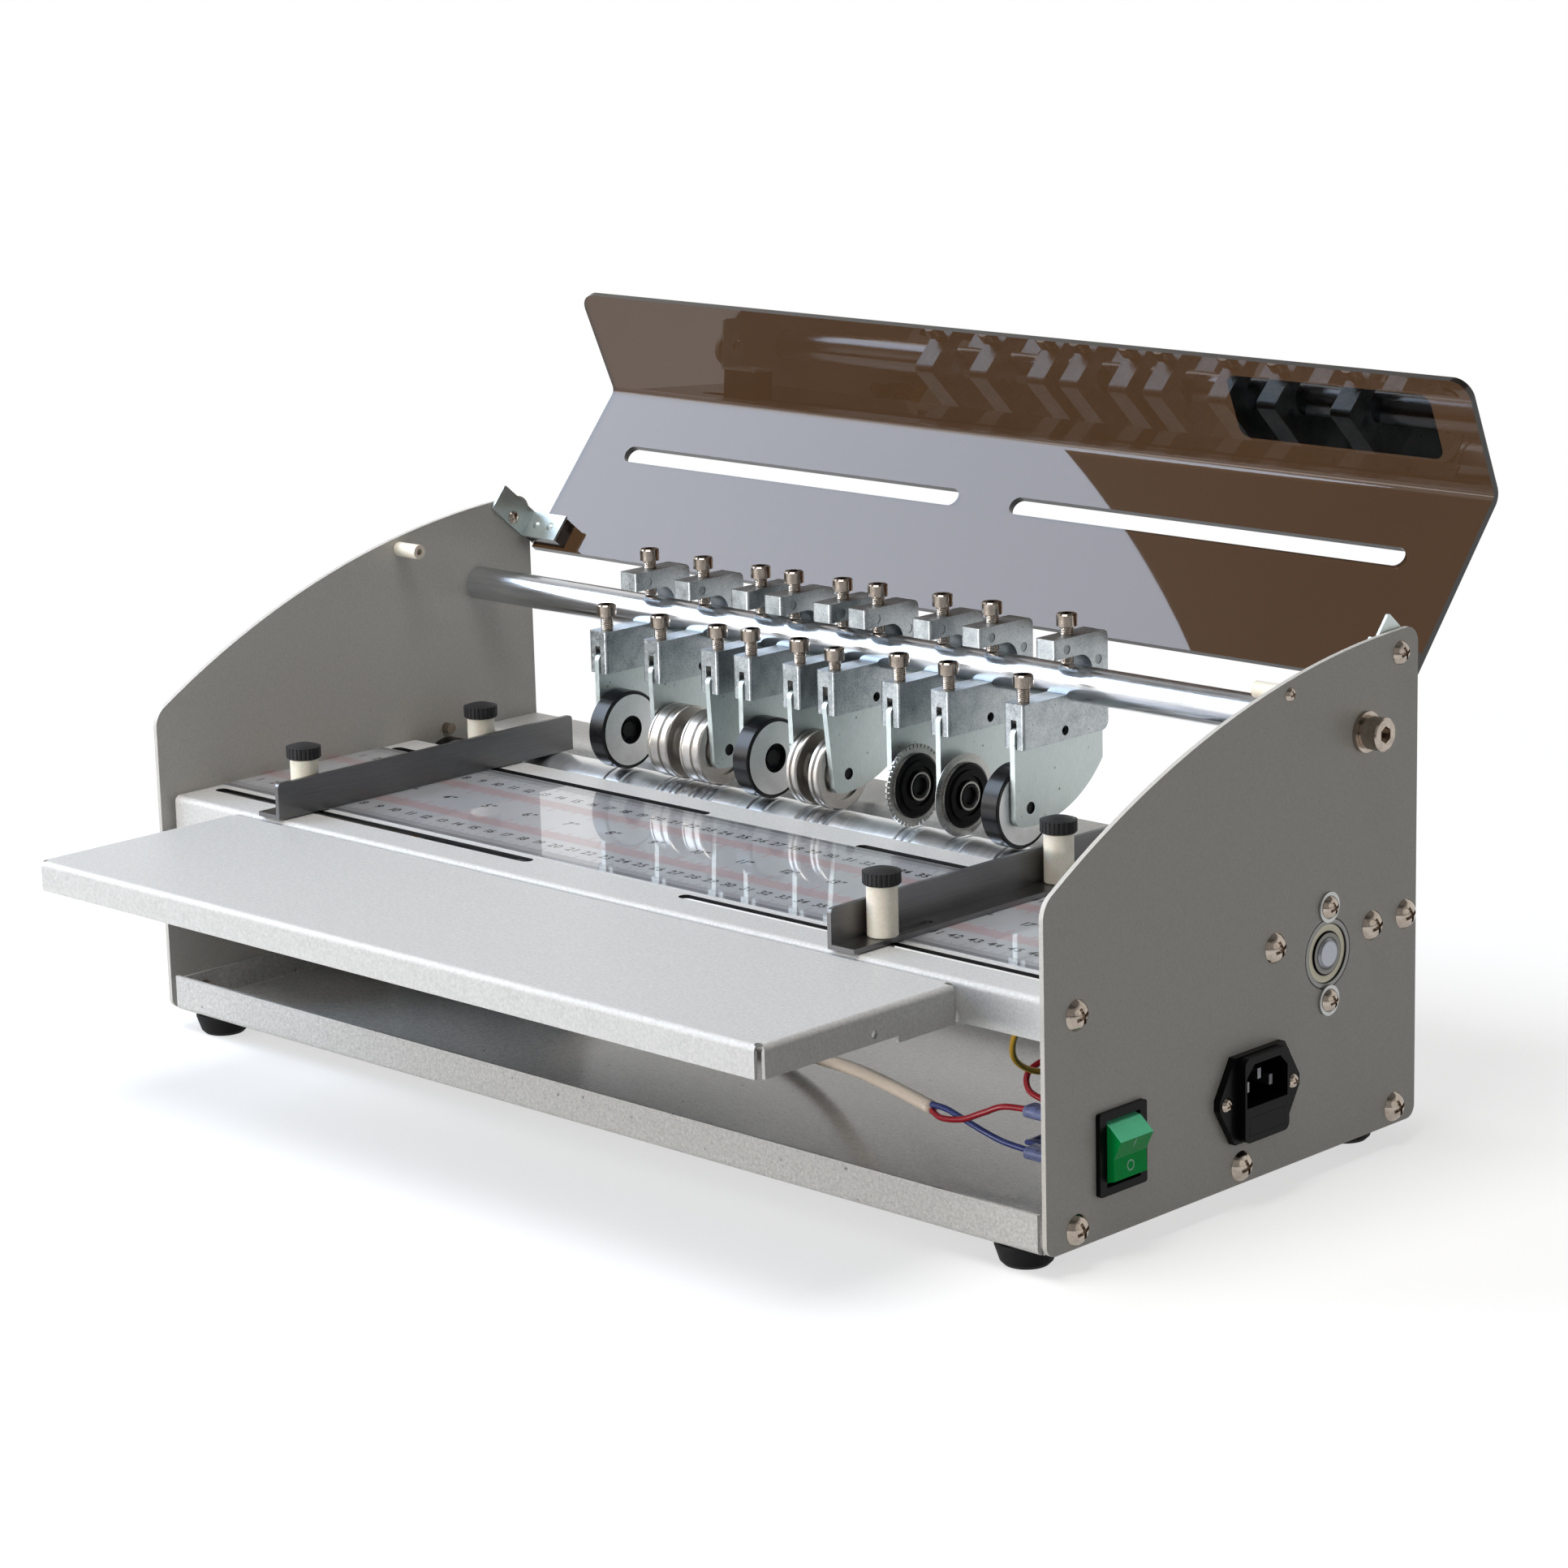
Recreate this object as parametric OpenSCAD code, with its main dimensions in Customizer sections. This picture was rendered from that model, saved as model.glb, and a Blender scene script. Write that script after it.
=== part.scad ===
// Motorised desk machine that creases, perforates and slits paper.
// Two side plates carry a base pan, a feed table, a driven roller and a round
// bar with nine sliding tool holders; a smoked cover swings over the tools.
// Lengths in mm. +X runs along the roller to the switch side, -Y is the feed side.
// Heights are counted from the underside of the side plates and depths from
// their front edge; the last lines move the machine so that the origin lies
// under the middle of it, on the surface that it stands on.

/* [Side plates] */
// Width over the outer faces of the side plates
frame_w = 506; // [490:1:560]
// Thickness of the side plates
plate_t = 2; // [1.5:0.1:3]
// Depth of the side plates
plate_depth = 221; // [219:1:240]
// Height of the side plates at the back
plate_h = 197.6; // [195:0.1:215]
// How far the curved top edge rises from the front to its crest
crest_rise = 66.3; // [55:0.1:80]
// Distance of the crest of the curved edge behind the plate
crest_back = 4.9; // [0:0.1:15]
// Radius of the front top corner
front_corner_r = 10; // [4:0.5:20]
// Radius of the rear top corner
rear_corner_r = 7; // [3:0.5:12]
// Radius of the bottom corners
bottom_corner_r = 5; // [2:0.5:8]

/* [Sheet metal] */
// Thickness of the pan, tables and tray
sheet_t = 1.5; // [1:0.1:2]
// Outside radius of the bends
bend_r = 2.4; // [2.2:0.1:4]
// Height of the pan's front and rear lips
pan_lip = 15.5; // [14:0.5:25]
// Distance of the feed table's top below the top of the plates
table_drop = 102.4; // [98:0.1:106]
// Depth at which the feed table starts
table_front = 5.8; // [4:0.1:10]
// Height of the feed table's flanges
table_flange = 16; // [14:0.5:22]
// Gap between the roller and the tables
table_gap = 1.8; // [1:0.1:3]
// Width of the clamp slots in the feed table
slot_w = 5.6; // [5.4:0.1:7]
// Distance of a slot's inner end from the middle
slot_inner = 43; // [30:1:60]
// Distance of a slot's outer end from the side plate
slot_margin = 7; // [5:0.5:12]
// Depth of the front pair of slots
slot_front_y = 26; // [22:0.5:30]
// Distance of the rear pair of slots ahead of the roller's axis
slot_rear = 37.8; // [33:0.1:42]
// Depth at which the ruler sheet starts
ruler_front = 32; // [31:0.5:40]
// Distance of the ruler sheet ahead of the middle of the rear slots
ruler_margin = 3; // [2.9:0.1:20]
// Thickness of the ruler sheet
ruler_t = 0.4; // [0.2:0.1:0.5]
// Height of the delivery table's flanges
delivery_flange = 20; // [18:0.5:26]
// Width of the front tray
tray_w = 415; // [300:1:460]
// Depth of the front tray
tray_depth = 103.5; // [60:0.5:140]
// Step from the feed table down to the front tray
tray_step = 1.2; // [0.5:0.1:3]
// Height of the front tray's flanges
tray_flange = 12.4; // [11:0.1:16]
// Length of the deeper side tabs that carry the tray
tray_tab_len = 30; // [20:1:50]
// Height of the deeper side tabs
tray_tab_h = 15; // [13:0.5:18]
// Distance of the tray's screws from its ends
tray_screw_inset = 57; // [20:1:80]
// Distance of the hole in the tray's sides from the tray's back
tray_hole_back = 45; // [36:0.5:50]

/* [Roller and drive] */
// Distance of the roller's axis from the plates' rear edge
roller_back = 56.2; // [55:0.1:58]
// Radius of the roller
roller_r = 17; // [14:0.1:18]
// How far the roller stands above the feed table
roller_rise = 0.3; // [0:0.1:0.4]
// Radius of the roller's core under the sleeves
core_r = 11; // [9:0.5:12]
// Radius of the roller's journals
journal_r = 6; // [5:0.5:7]
// Outer radius of the roller's bearings
bearing_r = 14; // [13:0.5:16]
// Width of the roller's bearings
bearing_w = 8; // [6:0.5:10]
// Tooth module of the drive gears
gear_module = 1.25; // [1:0.05:1.3]
// Teeth of the gear on the roller
roller_teeth = 24; // [20:1:25]
// Teeth of the gear on the motor
motor_teeth = 36; // [30:1:40]
// Width of the gears
gear_w = 8; // [5:0.5:10]
// Distance of the gears from the left plate
gear_inset = 23; // [18:0.5:30]
// Radius of the gear motor
motor_r = 28; // [22:0.5:30]
// Length of the gear motor
motor_len = 56; // [40:1:80]
// Offset of the output shaft from the motor's middle
motor_offset = 15; // [14:0.5:20]
// Height of the motor's middle from the roller's axis
motor_z = -42; // [-44:0.1:-39]

/* [Tool bar and tools] */
// Distance of the tool bar's axis from the plates' rear edge
bar_back = 33.5; // [32:0.1:35]
// Distance of the tool bar's axis below the top of the plates
bar_drop = 36.4; // [35:0.1:38]
// Diameter of the tool bar
bar_d = 15; // [12:0.5:16]
// Width of a tool holder
holder_w = 10.5; // [9:0.5:11]
// Thickness of the plate that carries a wheel
carrier_t = 2.5; // [2:0.1:3]
// Radius of the feed, perforating and slitting wheels
wheel_r = 17.3; // [15:0.1:18]
// Radius of the crease wheels
crease_r = 16; // [14:0.1:17]
// Gap between the wheels and the roller
wheel_gap = 0.8; // [0.4:0.1:1.5]
// Width of a rubber feed wheel
feed_wheel_w = 9; // [7:0.5:10]
// Thickness of the rubber tyre
tyre_t = 1.6; // [1:0.1:4]
// Width of a wide crease wheel
wide_crease_w = 12; // [11:0.5:15]
// Width of a narrow crease wheel
narrow_crease_w = 6; // [5.5:0.5:8]
// Width of the hub of a perforating or slitting wheel
blade_hub_w = 7; // [6:0.5:8]
// Number of teeth of the perforating wheel
perforating_teeth = 45; // [24:1:72]

/* [Paper guides] */
// Place of the left guide's paper side
left_guide_x = -176; // [-180:1:-172]
// Place of the right guide's paper side
right_guide_x = 143; // [140:1:148]
// Height of a guide's wall
guide_h = 15.7; // [12:0.1:18]
// Width of a guide's foot
guide_foot = 13.5; // [13:0.5:15]
// Thickness of a guide
guide_t = 2; // [1.5:0.1:2.5]
// Depth at which the guides start
guide_front = 4.5; // [2:0.5:8]
// How far the guides reach past the roller's axis
guide_past = 9.3; // [-8:0.1:12]
// Diameter of the clamp posts
post_d = 12; // [10:0.5:12]
// Height of the clamp posts
post_h = 20; // [16:0.5:24]
// Diameter of the clamp knobs
knob_d = 14.8; // [12:0.1:16]
// Height of the clamp knobs
knob_h = 6.5; // [6:0.5:10]
// Radius of the knobs' studs
stud_r = 2.5; // [2:0.1:2.6]

/* [Cover] */
// Thickness of the cover sheet
cover_t = 3; // [2:0.1:4]
// Gap between the cover's ends and the side plates
cover_side_gap = 2; // [1.8:0.1:4]
// Length of the cover's main panel up to the bend
cover_panel = 86.3; // [70:0.1:95]
// Length of the cover's lip from the bend
cover_lip = 51; // [40:0.1:60]
// Angle of the bend
cover_bend = 63; // [45:1:80]
// Inside radius of the bend
cover_bend_r = 4; // [2:0.5:8]
// Tilt of the open cover
cover_tilt = 49.7; // [45:0.1:55]
// Distance from the hinge axis to the cover's inner face
hinge_reach = 17.5; // [16:0.1:22]
// Distance from the hinge axis to the cover's lower edge
hinge_drop = 4.7; // [3:0.1:8]
// Distance of the hinge axis from the plate's rear edge
hinge_inset = 11.1; // [9:0.1:15]
// Distance of the hinge axis below the plate's top
hinge_depth = 9.5; // [8:0.1:14]
// Radius of the hinge screws
hinge_r = 2.5; // [2:0.1:3]
// Width of the two access slots
cover_slot_w = 8.4; // [6:0.1:12]
// Length of the access slots
cover_slot_len = 206; // [150:1:210]
// Distance of the slots from the middle
cover_slot_inner = 15; // [10:1:18]
// Distance of the slots from the cover's lower edge
cover_slot_s = 54.4; // [35:0.1:60]

/* [Switch and inlet] */
// Depth of the switch's middle
switch_y = 40.9; // [36:0.1:46]
// Height of the switch's middle
switch_z = 32.2; // [30:0.1:40]
// Width of the switch's frame
switch_w = 26.6; // [24:0.1:30]
// Height of the switch's frame
switch_h = 31.6; // [29:0.1:36]
// Turn of the rocker from the middle to a pressed end
rocker_tilt = 11; // [8:0.5:13]
// Depth of the mains inlet's middle
inlet_y = 119.5; // [114:0.1:124]
// Height of the mains inlet's middle
inlet_z = 34.5; // [32:0.1:42]
// Distance between the inlet's screws
inlet_pitch = 40; // [38:0.1:42]
// How far the inlet's middle stands out from its flange
inlet_rise = 3.5; // [1:0.1:5]

/* [Feet and stops] */
// Height of the rubber feet
foot_h = 9; // [6:0.5:15]
// Radius of a foot at its top
foot_r = 12; // [10:0.5:13]
// Diameter of the nylon stop pins
stop_d = 6.5; // [5:0.1:8]
// Length of the nylon stop pins
stop_len = 14; // [10:0.5:20]
// Distance of the stop pins from the plates' rear edge
stop_back = 79.6; // [76:0.1:83]
// Distance of the stop pins below the top of the plates
stop_drop = 14.1; // [13.5:0.1:16]

/* [Hidden] */
$fn = 48;

// Clearances: faces that seat, bores that hold a pressed pin, bores that turn, parts that pass
seat = 0.1;
press = 0.02;
run_fit = 0.05;
pass = 0.3;
over = 1;

// Tools from left to right: place of the holder, kind of wheel, side of the carrier that it runs on,
// and how far its adjusting screw has turned the carrier down
tools = [
    [-136.5, "feed", 1, 0], [-103.1, "wide", 1, 2.5], [-68.1, "wide", -1, 3], [-48.3, "feed", 1, 0],
    [-19.7, "narrow", 1, 2.5], [0.5, "narrow", -1, 6.5], [37, "perforate", 1, 0], [64.2, "slit", 1, 0],
    [104.3, "feed", -1, 0]
];
wheel_names = [
    "feed_wheel_1", "crease_wheel_2", "crease_wheel_3", "feed_wheel_4", "crease_wheel_5",
    "crease_wheel_6", "perforating_wheel_7", "slitting_wheel_8", "feed_wheel_9"
];

// Frame
plate_outer = frame_w / 2;
plate_inner = plate_outer - plate_t;
plate_front_h = plate_h - crest_rise;
crest_run = plate_depth + crest_back;
crest_r = (crest_run * crest_run + crest_rise * crest_rise) / (2 * crest_rise);
crest_c = [crest_run, plate_h - crest_r];
table_z = plate_h - table_drop;
roller_y = plate_depth - roller_back;
slot_rear_y = roller_y - slot_rear;
ruler_depth = slot_rear_y - ruler_margin - ruler_front;
stop_at = [plate_depth - stop_back, plate_h - stop_drop];
sheet_half = plate_inner - seat;
relief = bend_r + 0.2;
tray_front = table_front - seat - tray_depth;
tray_z = table_z - tray_step;
pan_inset = 0.5;

// Roller and drive
roller_z = table_z + roller_rise - roller_r;
roller_at = [roller_y, roller_z];
table_back = roller_y - roller_r - table_gap;
delivery_front = roller_y + roller_r + table_gap;
delivery_back = plate_depth - pan_inset;
bearing_inner = plate_outer - bearing_w;
race_r = journal_r + 2.2;
gear_x = -plate_inner + gear_inset;
gear_gap = gear_module * (roller_teeth + motor_teeth) / 2;
motor_reach = gear_gap + motor_offset;
motor_fall = -motor_z / motor_reach;
drive_dir = [-sqrt(1 - motor_fall * motor_fall), -motor_fall];
motor_axis = roller_at + gear_gap * drive_dir;
motor_at = roller_at + motor_reach * drive_dir;
motor_plate_x = gear_x + gear_w + 4;
motor_x = motor_plate_x + sheet_t + seat;
motor_shaft_r = 4;
sleeve_end = plate_inner - 9;
sleeve_gap = 0.15;

// Tools
bar_y = plate_depth - bar_back;
bar_z = plate_h - bar_drop;
bar_at = [bar_y, bar_z];
bar_r = bar_d / 2;
axle_y = roller_y - 2;
axle_z = roller_z + roller_r + wheel_gap + wheel_r;
axle_at = [axle_y, axle_z];
axle_r = 2.5;
arm_front = bar_y - 33;
arm_low = bar_z - 22.2;
arm_top = bar_z - 3.7;
hook_front = bar_y - 13.4;
hook_low = bar_z + 11.3;
hook_top = bar_z + 19.3;
holder_back = bar_y + 19.2;
holder_edge_r = 1.2;
throat_y = bar_y + 2;
pin_at = [bar_y - 7.6, bar_z - 18.2];
pin_r = 2;
slot_gap = 0.25;
slot_top = bar_z - 10.3;
carrier_top = slot_top - 3.4;
carrier_back_top = carrier_top - 6;
carrier_front = arm_front - 1;
carrier_back = holder_back + 1;
carrier_arc_r = 52.8;
carrier_belly = 7.8;
carrier_arc_back = 3;
carrier_arc_c = axle_at + [carrier_arc_back, carrier_arc_r - carrier_belly];
lift = 3;
tool_screw_r = 2.5;
tool_screw_head_r = 4.25;
tool_screw_head_h = 5;
tool_screw = [tool_screw_r, tool_screw_head_r, tool_screw_head_h];
clamp_head_z = bar_z + 23.1;
adjust_y = bar_y - 27;
adjust_rise = 16.2;
wheel_side_gap = 0.5;
axle_head_r = 3.4;
axle_head_h = 2;
axle_sunk = 4;
hub_bore_r = 6.3;
blade_bore_r = 3.8;
blade_r = wheel_r - 3.7;
disc_t = 1;

// Guides and clamps
guide_z = table_z + ruler_t + 0.1;
guide_len = roller_y + guide_past - guide_front;
post_offset = guide_t + 0.1 + post_d / 2;
guide_slot = 27;
post_z = guide_z + guide_t + seat;
knob_z = post_z + post_h + seat;
clamp_nut_h = 4;
clamp_nut_z = table_z - sheet_t - pass - clamp_nut_h;

// Cover
hinge_at = [plate_depth - hinge_inset, plate_h - hinge_depth];
cover_along = [cos(cover_tilt), sin(cover_tilt)];
cover_out = [-sin(cover_tilt), cos(cover_tilt)];
cover_edge = hinge_at - hinge_reach * cover_out - hinge_drop * cover_along;
cover_half = plate_inner - cover_side_gap;
cover_bend_s = cover_panel - cover_bend_r * tan(cover_bend / 2);
cover_lip_flat = cover_lip - cover_bend_r * tan(cover_bend / 2);
cover_corner_r = 8;
block_t = 6.8;
block_s = [1.5, 13.5];
bracket_t = 1.2;
bracket_x = cover_half + 0.3;
bracket_leg = 22.5;
bracket_s = [1, 14];
bracket_end = hinge_reach + 13.5;

// Fasteners: radius of shank, radius of head, height of head, length below the head
m6 = [3, 6, 3.6, 8];
m5 = [2.5, 4.6, 2.8, 7];
m4 = [2, 3.8, 2.4, 6];
m3 = [1.5, 2.8, 1.8, 8];
pan_screw_z = 7;
pan_screw_y = [17, 112, plate_depth - 13.5];
table_screw_z = table_z - 7.6;
table_screw_y = [table_front + 12, table_back - 13.5];
delivery_screw_z = table_z - 11.4;
delivery_screw_y = [delivery_front + 9, delivery_back - 6.6];
plate_screw_at = concat(
    [for (y = pan_screw_y) [y, pan_screw_z]],
    [for (y = table_screw_y) [y, table_screw_z]],
    [for (y = delivery_screw_y) [y, delivery_screw_z]]
);
retainer_pitch = bearing_r + 4.4;
retainer_at = [for (side = [-1, 1]) roller_at + [0, side * retainer_pitch]];
washer_t = 1;
bar_bolt = [4, 6.5, 8, 22];
foot_x = plate_inner - 19;
foot_y = [13, plate_depth - 17];
tray_screw_x = tray_w / 2 - tray_screw_inset;
tray_screw_z = tray_z - 8;

// Switch and inlet
switch_body = [21, 26, 21];
switch_opening = [19, 25.4];
bezel_t = 2;
rocker_size = [18.4, 24];
rocker_axis_x = plate_outer - 3;
tab_size = [9, 6.3, 0.8];
tab_pitch = [11, 16];
inlet_body = [26, 27.5, 31];
inlet_flange_t = 3;
inlet_socket = [24.4, 16.6, 17];
inlet_socket_z = 5.5;
inlet_block = [26.6, 33];
inlet_back = plate_outer - inlet_body[0];
inlet_tabs = [[-7, 6], [0, 13], [7, 6]];
inlet_tab_w = 4.8;

// Route of the motor cable and of the wires, in the machine's own heights and depths
cable_r = 2.7;
wire_r = 1.2;
motor_end = motor_x + motor_len;
crimp_len = 15;
crimp_size = [8.6, 4.6];
switch_back = plate_inner - switch_body[2];
wire_end_x = switch_back - crimp_len - 0.2;
inlet_wire_x = inlet_back - crimp_len - 0.2;
cable_end = wire_end_x - 51.8;
cable_route = [
    [motor_end - 3, motor_at[0], motor_at[1]], [motor_end + 8.4, motor_at[0] - 0.3, motor_at[1] - 0.5],
    [motor_end + 20.4, motor_at[0] - 0.3, motor_at[1] - 6.5],
    [motor_end + 32.4, motor_at[0] - 1.3, motor_at[1] - 18.5], [motor_end + 48.4, motor_at[0] - 3.3, 7],
    [-80, 128, 5], [-40, 124, 5], [0, 117, 6], [40, 104, 10], [80, 85, 17], [120, 62, 24], [cable_end, 38, 30]
];
red_route = [
    [cable_end + 0.7, 37.6, 31.4], [cable_end + 9, 33, 28.5], [wire_end_x - 30.8, 31, 30],
    [wire_end_x - 20.8, 33, 35], [wire_end_x - 12.8, 35, 40], [wire_end_x, switch_y - 5.5, switch_z + 8]
];
blue_route = [
    [cable_end + 0.9, 37.5, 28.8], [cable_end + 9, 36.5, 29.5], [wire_end_x - 32.8, 34, 25],
    [wire_end_x - 22.8, 34, 23], [wire_end_x - 12.8, 35, 24], [wire_end_x, switch_y - 5.5, switch_z - 8]
];
live_route = [
    [wire_end_x, switch_y + 5.5, switch_z + 8], [wire_end_x - 10.8, 47.5, 42.5], [wire_end_x - 14.8, 52, 48],
    [wire_end_x - 11.8, 62, 52], [wire_end_x - 9.8, 80, 50], [wire_end_x - 11.8, 98, 46],
    [wire_end_x - 9.8, 108, 42], [inlet_wire_x, inlet_y - 7, inlet_z + 6]
];
neutral_route = [
    [wire_end_x, switch_y + 5.5, switch_z - 8], [wire_end_x - 11.8, 48, 22], [wire_end_x - 15.8, 56, 20],
    [wire_end_x - 13.8, 76, 22], [wire_end_x - 12.8, 100, 30], [wire_end_x - 13.8, 116, 37],
    [wire_end_x - 10.8, 124, 40], [inlet_wire_x, inlet_y + 7, inlet_z + 6]
];
earth_route = [
    [plate_outer - m6[3], table_screw_y[0], table_screw_z], [plate_inner - 15, 18.2, table_screw_z - 1.6],
    [plate_inner - 25, 20, table_screw_z - 7.6], [plate_inner - 33, 23, table_screw_z - 17.6],
    [plate_inner - 38, 30, table_screw_z - 27.6], [plate_inner - 38, 42, 53], [plate_inner - 37, 60, 51],
    [plate_inner - 41, 86, 55], [plate_inner - 47, 104, 55], [plate_inner - 48, 114, 51],
    [inlet_wire_x, inlet_y, inlet_z + 13]
];

// Frame of the finished part
cover_bend_c = cover_edge + cover_bend_s * cover_along + cover_bend_r * cover_out;
cover_back = cover_bend_c[0] + cover_bend_r + cover_t;
origin_shift = [0, -(tray_front + cover_back) / 2, foot_h];

// Plain helpers
function unit(v) = v / norm(v);

module along_x(start, len) {
    translate([start, 0, 0]) rotate([90, 0, 90]) linear_extrude(len) children();
}

module along_y(start, len) {
    translate([0, start + len, 0]) rotate([90, 0, 0]) linear_extrude(len) children();
}

module rod_x(start, len, r, at) {
    translate([start, at[0], at[1]]) rotate([0, 90, 0]) cylinder(r = r, h = len);
}

module rod_y(start, len, r, at) {
    translate([at[0], start, at[1]]) rotate([-90, 0, 0]) cylinder(r = r, h = len);
}

module rod_z(start, len, r, at) {
    translate([at[0], at[1], start]) cylinder(r = r, h = len);
}

module turned_x(start, at) {
    translate([start, at[0], at[1]]) rotate([0, 90, 0]) rotate_extrude() children();
}

module both_sides() {
    children();
    mirror([1, 0, 0]) children();
}

// Plane shape: what lies outside a corner circle, between the two directions from its centre
module corner_relief(c, r, a, b) {
    reach = 3 * r;
    difference() {
        polygon([c, c + reach * a, c + reach * (a + b), c + reach * b]);
        translate(c) circle(r = r);
    }
}

// Plane shape: rectangle with round corners, centred
module round_rect(size, r) {
    square([size[0] - 2 * r, size[1]], center = true);
    square([size[0], size[1] - 2 * r], center = true);
    for (i = [-1, 1])
        for (j = [-1, 1])
            translate([i * (size[0] / 2 - r), j * (size[1] / 2 - r)]) circle(r = r);
}

// Plane shape: slot with round ends between two points on the first axis
module round_slot(from, to, w) {
    translate([from + w / 2, -w / 2]) square([to - from - w, w]);
    for (x = [from + w / 2, to - w / 2])
        translate([x, 0]) circle(r = w / 2);
}

// Plane shape: section of a sheet with its ends bent down; first axis along the sheet
module bend(turn) {
    intersection() {
        difference() {
            circle(r = bend_r);
            circle(r = bend_r - sheet_t);
        }
        rotate(turn) square(bend_r);
    }
}

module bent_section(from, to, from_h, to_h) {
    translate([from + bend_r, -sheet_t]) square([to - from - 2 * bend_r, sheet_t]);
    translate([from + bend_r, -bend_r]) bend(90);
    translate([to - bend_r, -bend_r]) bend(0);
    translate([from, -from_h]) square([sheet_t, from_h - bend_r]);
    translate([to - sheet_t, -to_h]) square([sheet_t, to_h - bend_r]);
}

// Sheet with four flanges bent down and open, relieved corners
module flanged_sheet(half, front, back, top, front_h, back_h, side_h) {
    translate([0, 0, top]) {
        along_x(-half + relief, 2 * (half - relief)) bent_section(front, back, front_h, back_h);
        along_y(front + relief, back - front - 2 * relief) bent_section(-half, half, side_h, side_h);
    }
}

// Plane shape, half of a domed screw head
module dome_half(r, h) {
    ball = (r * r + h * h) / (2 * h);
    intersection() {
        translate([0, h - ball]) circle(r = ball);
        square([r, h]);
    }
}

// Cross-head screw along +Z, with the underside of its head at the origin
module cross_screw(m) {
    arm = 1.1 * m[1];
    wide = 0.24 * m[1];
    difference() {
        union() {
            rotate_extrude() dome_half(m[1], m[2]);
            translate([0, 0, -m[3]]) cylinder(r = m[0], h = m[3] + m[2] / 4);
        }
        for (turn = [0, 90])
            rotate(turn + 20)
                translate([-arm / 2, -wide / 2, m[2] * 0.45]) cube([arm, wide, m[2]]);
    }
}

// Socket-head screw along +Z, with the underside of its head at the origin
module socket_screw(m, key_r) {
    difference() {
        union() {
            rotate_extrude() polygon([
                [0, 0], [m[1], 0], [m[1], m[2] - 0.5], [m[1] - 0.5, m[2]], [0, m[2]]
            ]);
            translate([0, 0, -m[3]]) cylinder(r = m[0], h = m[3] + m[2] / 4);
        }
        translate([0, 0, m[2] / 2]) cylinder(r = key_r, h = m[2], $fn = 6);
    }
}

// Round tube swept along points joined by a smooth curve
function spline(p, i, t) =
    let (a = p[max(i - 1, 0)], b = p[i], c = p[i + 1], d = p[min(i + 2, len(p) - 1)])
    0.5 * (2 * b + (c - a) * t + (2 * a - 5 * b + 4 * c - d) * t * t + (3 * b - a - 3 * c + d) * t * t * t);
function smooth(p, steps) = concat(
    [for (i = [0 : len(p) - 2]) for (k = [0 : steps - 1]) spline(p, i, k / steps)],
    [p[len(p) - 1]]
);

module swept_tube(route, r, steps) {
    sides = 8;
    p = smooth(route, steps);
    last = len(p) - 1;
    rings = [
        for (i = [0 : last])
            let (
                ahead = unit(p[min(i + 1, last)] - p[max(i - 1, 0)]),
                side = unit(cross(ahead, [0.1, 0.3, 1])),
                up = cross(side, ahead)
            )
            for (k = [0 : sides - 1])
                p[i] + r * (cos(360 * k / sides) * side + sin(360 * k / sides) * up)
    ];
    walls = [
        for (i = [0 : last - 1])
            for (k = [0 : sides - 1])
                let (a = i * sides + k, b = i * sides + (k + 1) % sides)
                each [[a, a + sides, b], [b, a + sides, b + sides]]
    ];
    start_cap = [for (k = [1 : sides - 2]) [0, k, k + 1]];
    end_cap = [for (k = [1 : sides - 2]) [last * sides, last * sides + k + 1, last * sides + k]];
    polyhedron(rings, concat(walls, start_cap, end_cap));
}

// Gear outline: straight-flanked teeth on the pitch circle, with running clearance between flanks
module gear_outline(teeth, phase) {
    pitch_r = gear_module * teeth / 2;
    root_r = pitch_r - 1.25 * gear_module;
    tip_r = pitch_r + 0.95 * gear_module;
    step = 360 / teeth;
    root_part = 0.36;
    pitch_part = 0.232;
    tip_part = 0.11;
    polygon([
        for (i = [0 : teeth - 1])
            for (q = [
                [root_r, -root_part], [pitch_r, -pitch_part], [tip_r, -tip_part],
                [tip_r, tip_part], [pitch_r, pitch_part], [root_r, root_part]
            ])
                q[0] * [cos(phase + (i + q[1]) * step), sin(phase + (i + q[1]) * step)]
    ]);
}

// Side plates
module plate_outline() {
    front_c = [
        front_corner_r,
        crest_c[1] + sqrt(pow(crest_r - front_corner_r, 2) - pow(crest_c[0] - front_corner_r, 2))
    ];
    rear_y = plate_depth - rear_corner_r;
    rear_c = [rear_y, crest_c[1] + sqrt(pow(crest_r - rear_corner_r, 2) - pow(crest_c[0] - rear_y, 2))];
    low = bottom_corner_r;
    difference() {
        intersection() {
            square([plate_depth, plate_h + over]);
            translate(crest_c) circle(r = crest_r, $fn = 360);
        }
        corner_relief(front_c, front_corner_r, [-1, 0], unit(front_c - crest_c));
        corner_relief(rear_c, rear_corner_r, [1, 0], unit(rear_c - crest_c));
        corner_relief([low, low], low, [-1, 0], [0, -1]);
        corner_relief([plate_depth - low, low], low, [1, 0], [0, -1]);
    }
}

module plate_blank() {
    difference() {
        along_x(plate_inner, plate_t) plate_outline();
        for (at = plate_screw_at)
            rod_x(plate_inner - over, plate_t + 2 * over, m6[0] + pass, at);
        for (at = retainer_at)
            rod_x(plate_inner - over, plate_t + 2 * over, m5[0] + run_fit, at);
        rod_x(plate_inner - over, plate_t + 2 * over, bearing_r + press, roller_at);
        rod_x(plate_inner - over, plate_t + 2 * over, bar_bolt[0] + pass, bar_at);
        rod_x(plate_inner - over, plate_t + 2 * over, hinge_r + run_fit, hinge_at);
        rod_x(plate_inner - over, plate_t + 2 * over, m3[0] + pass, stop_at);
    }
}

module left_side_plate() {
    color("#c4c3be") mirror([1, 0, 0]) plate_blank();
}

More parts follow.
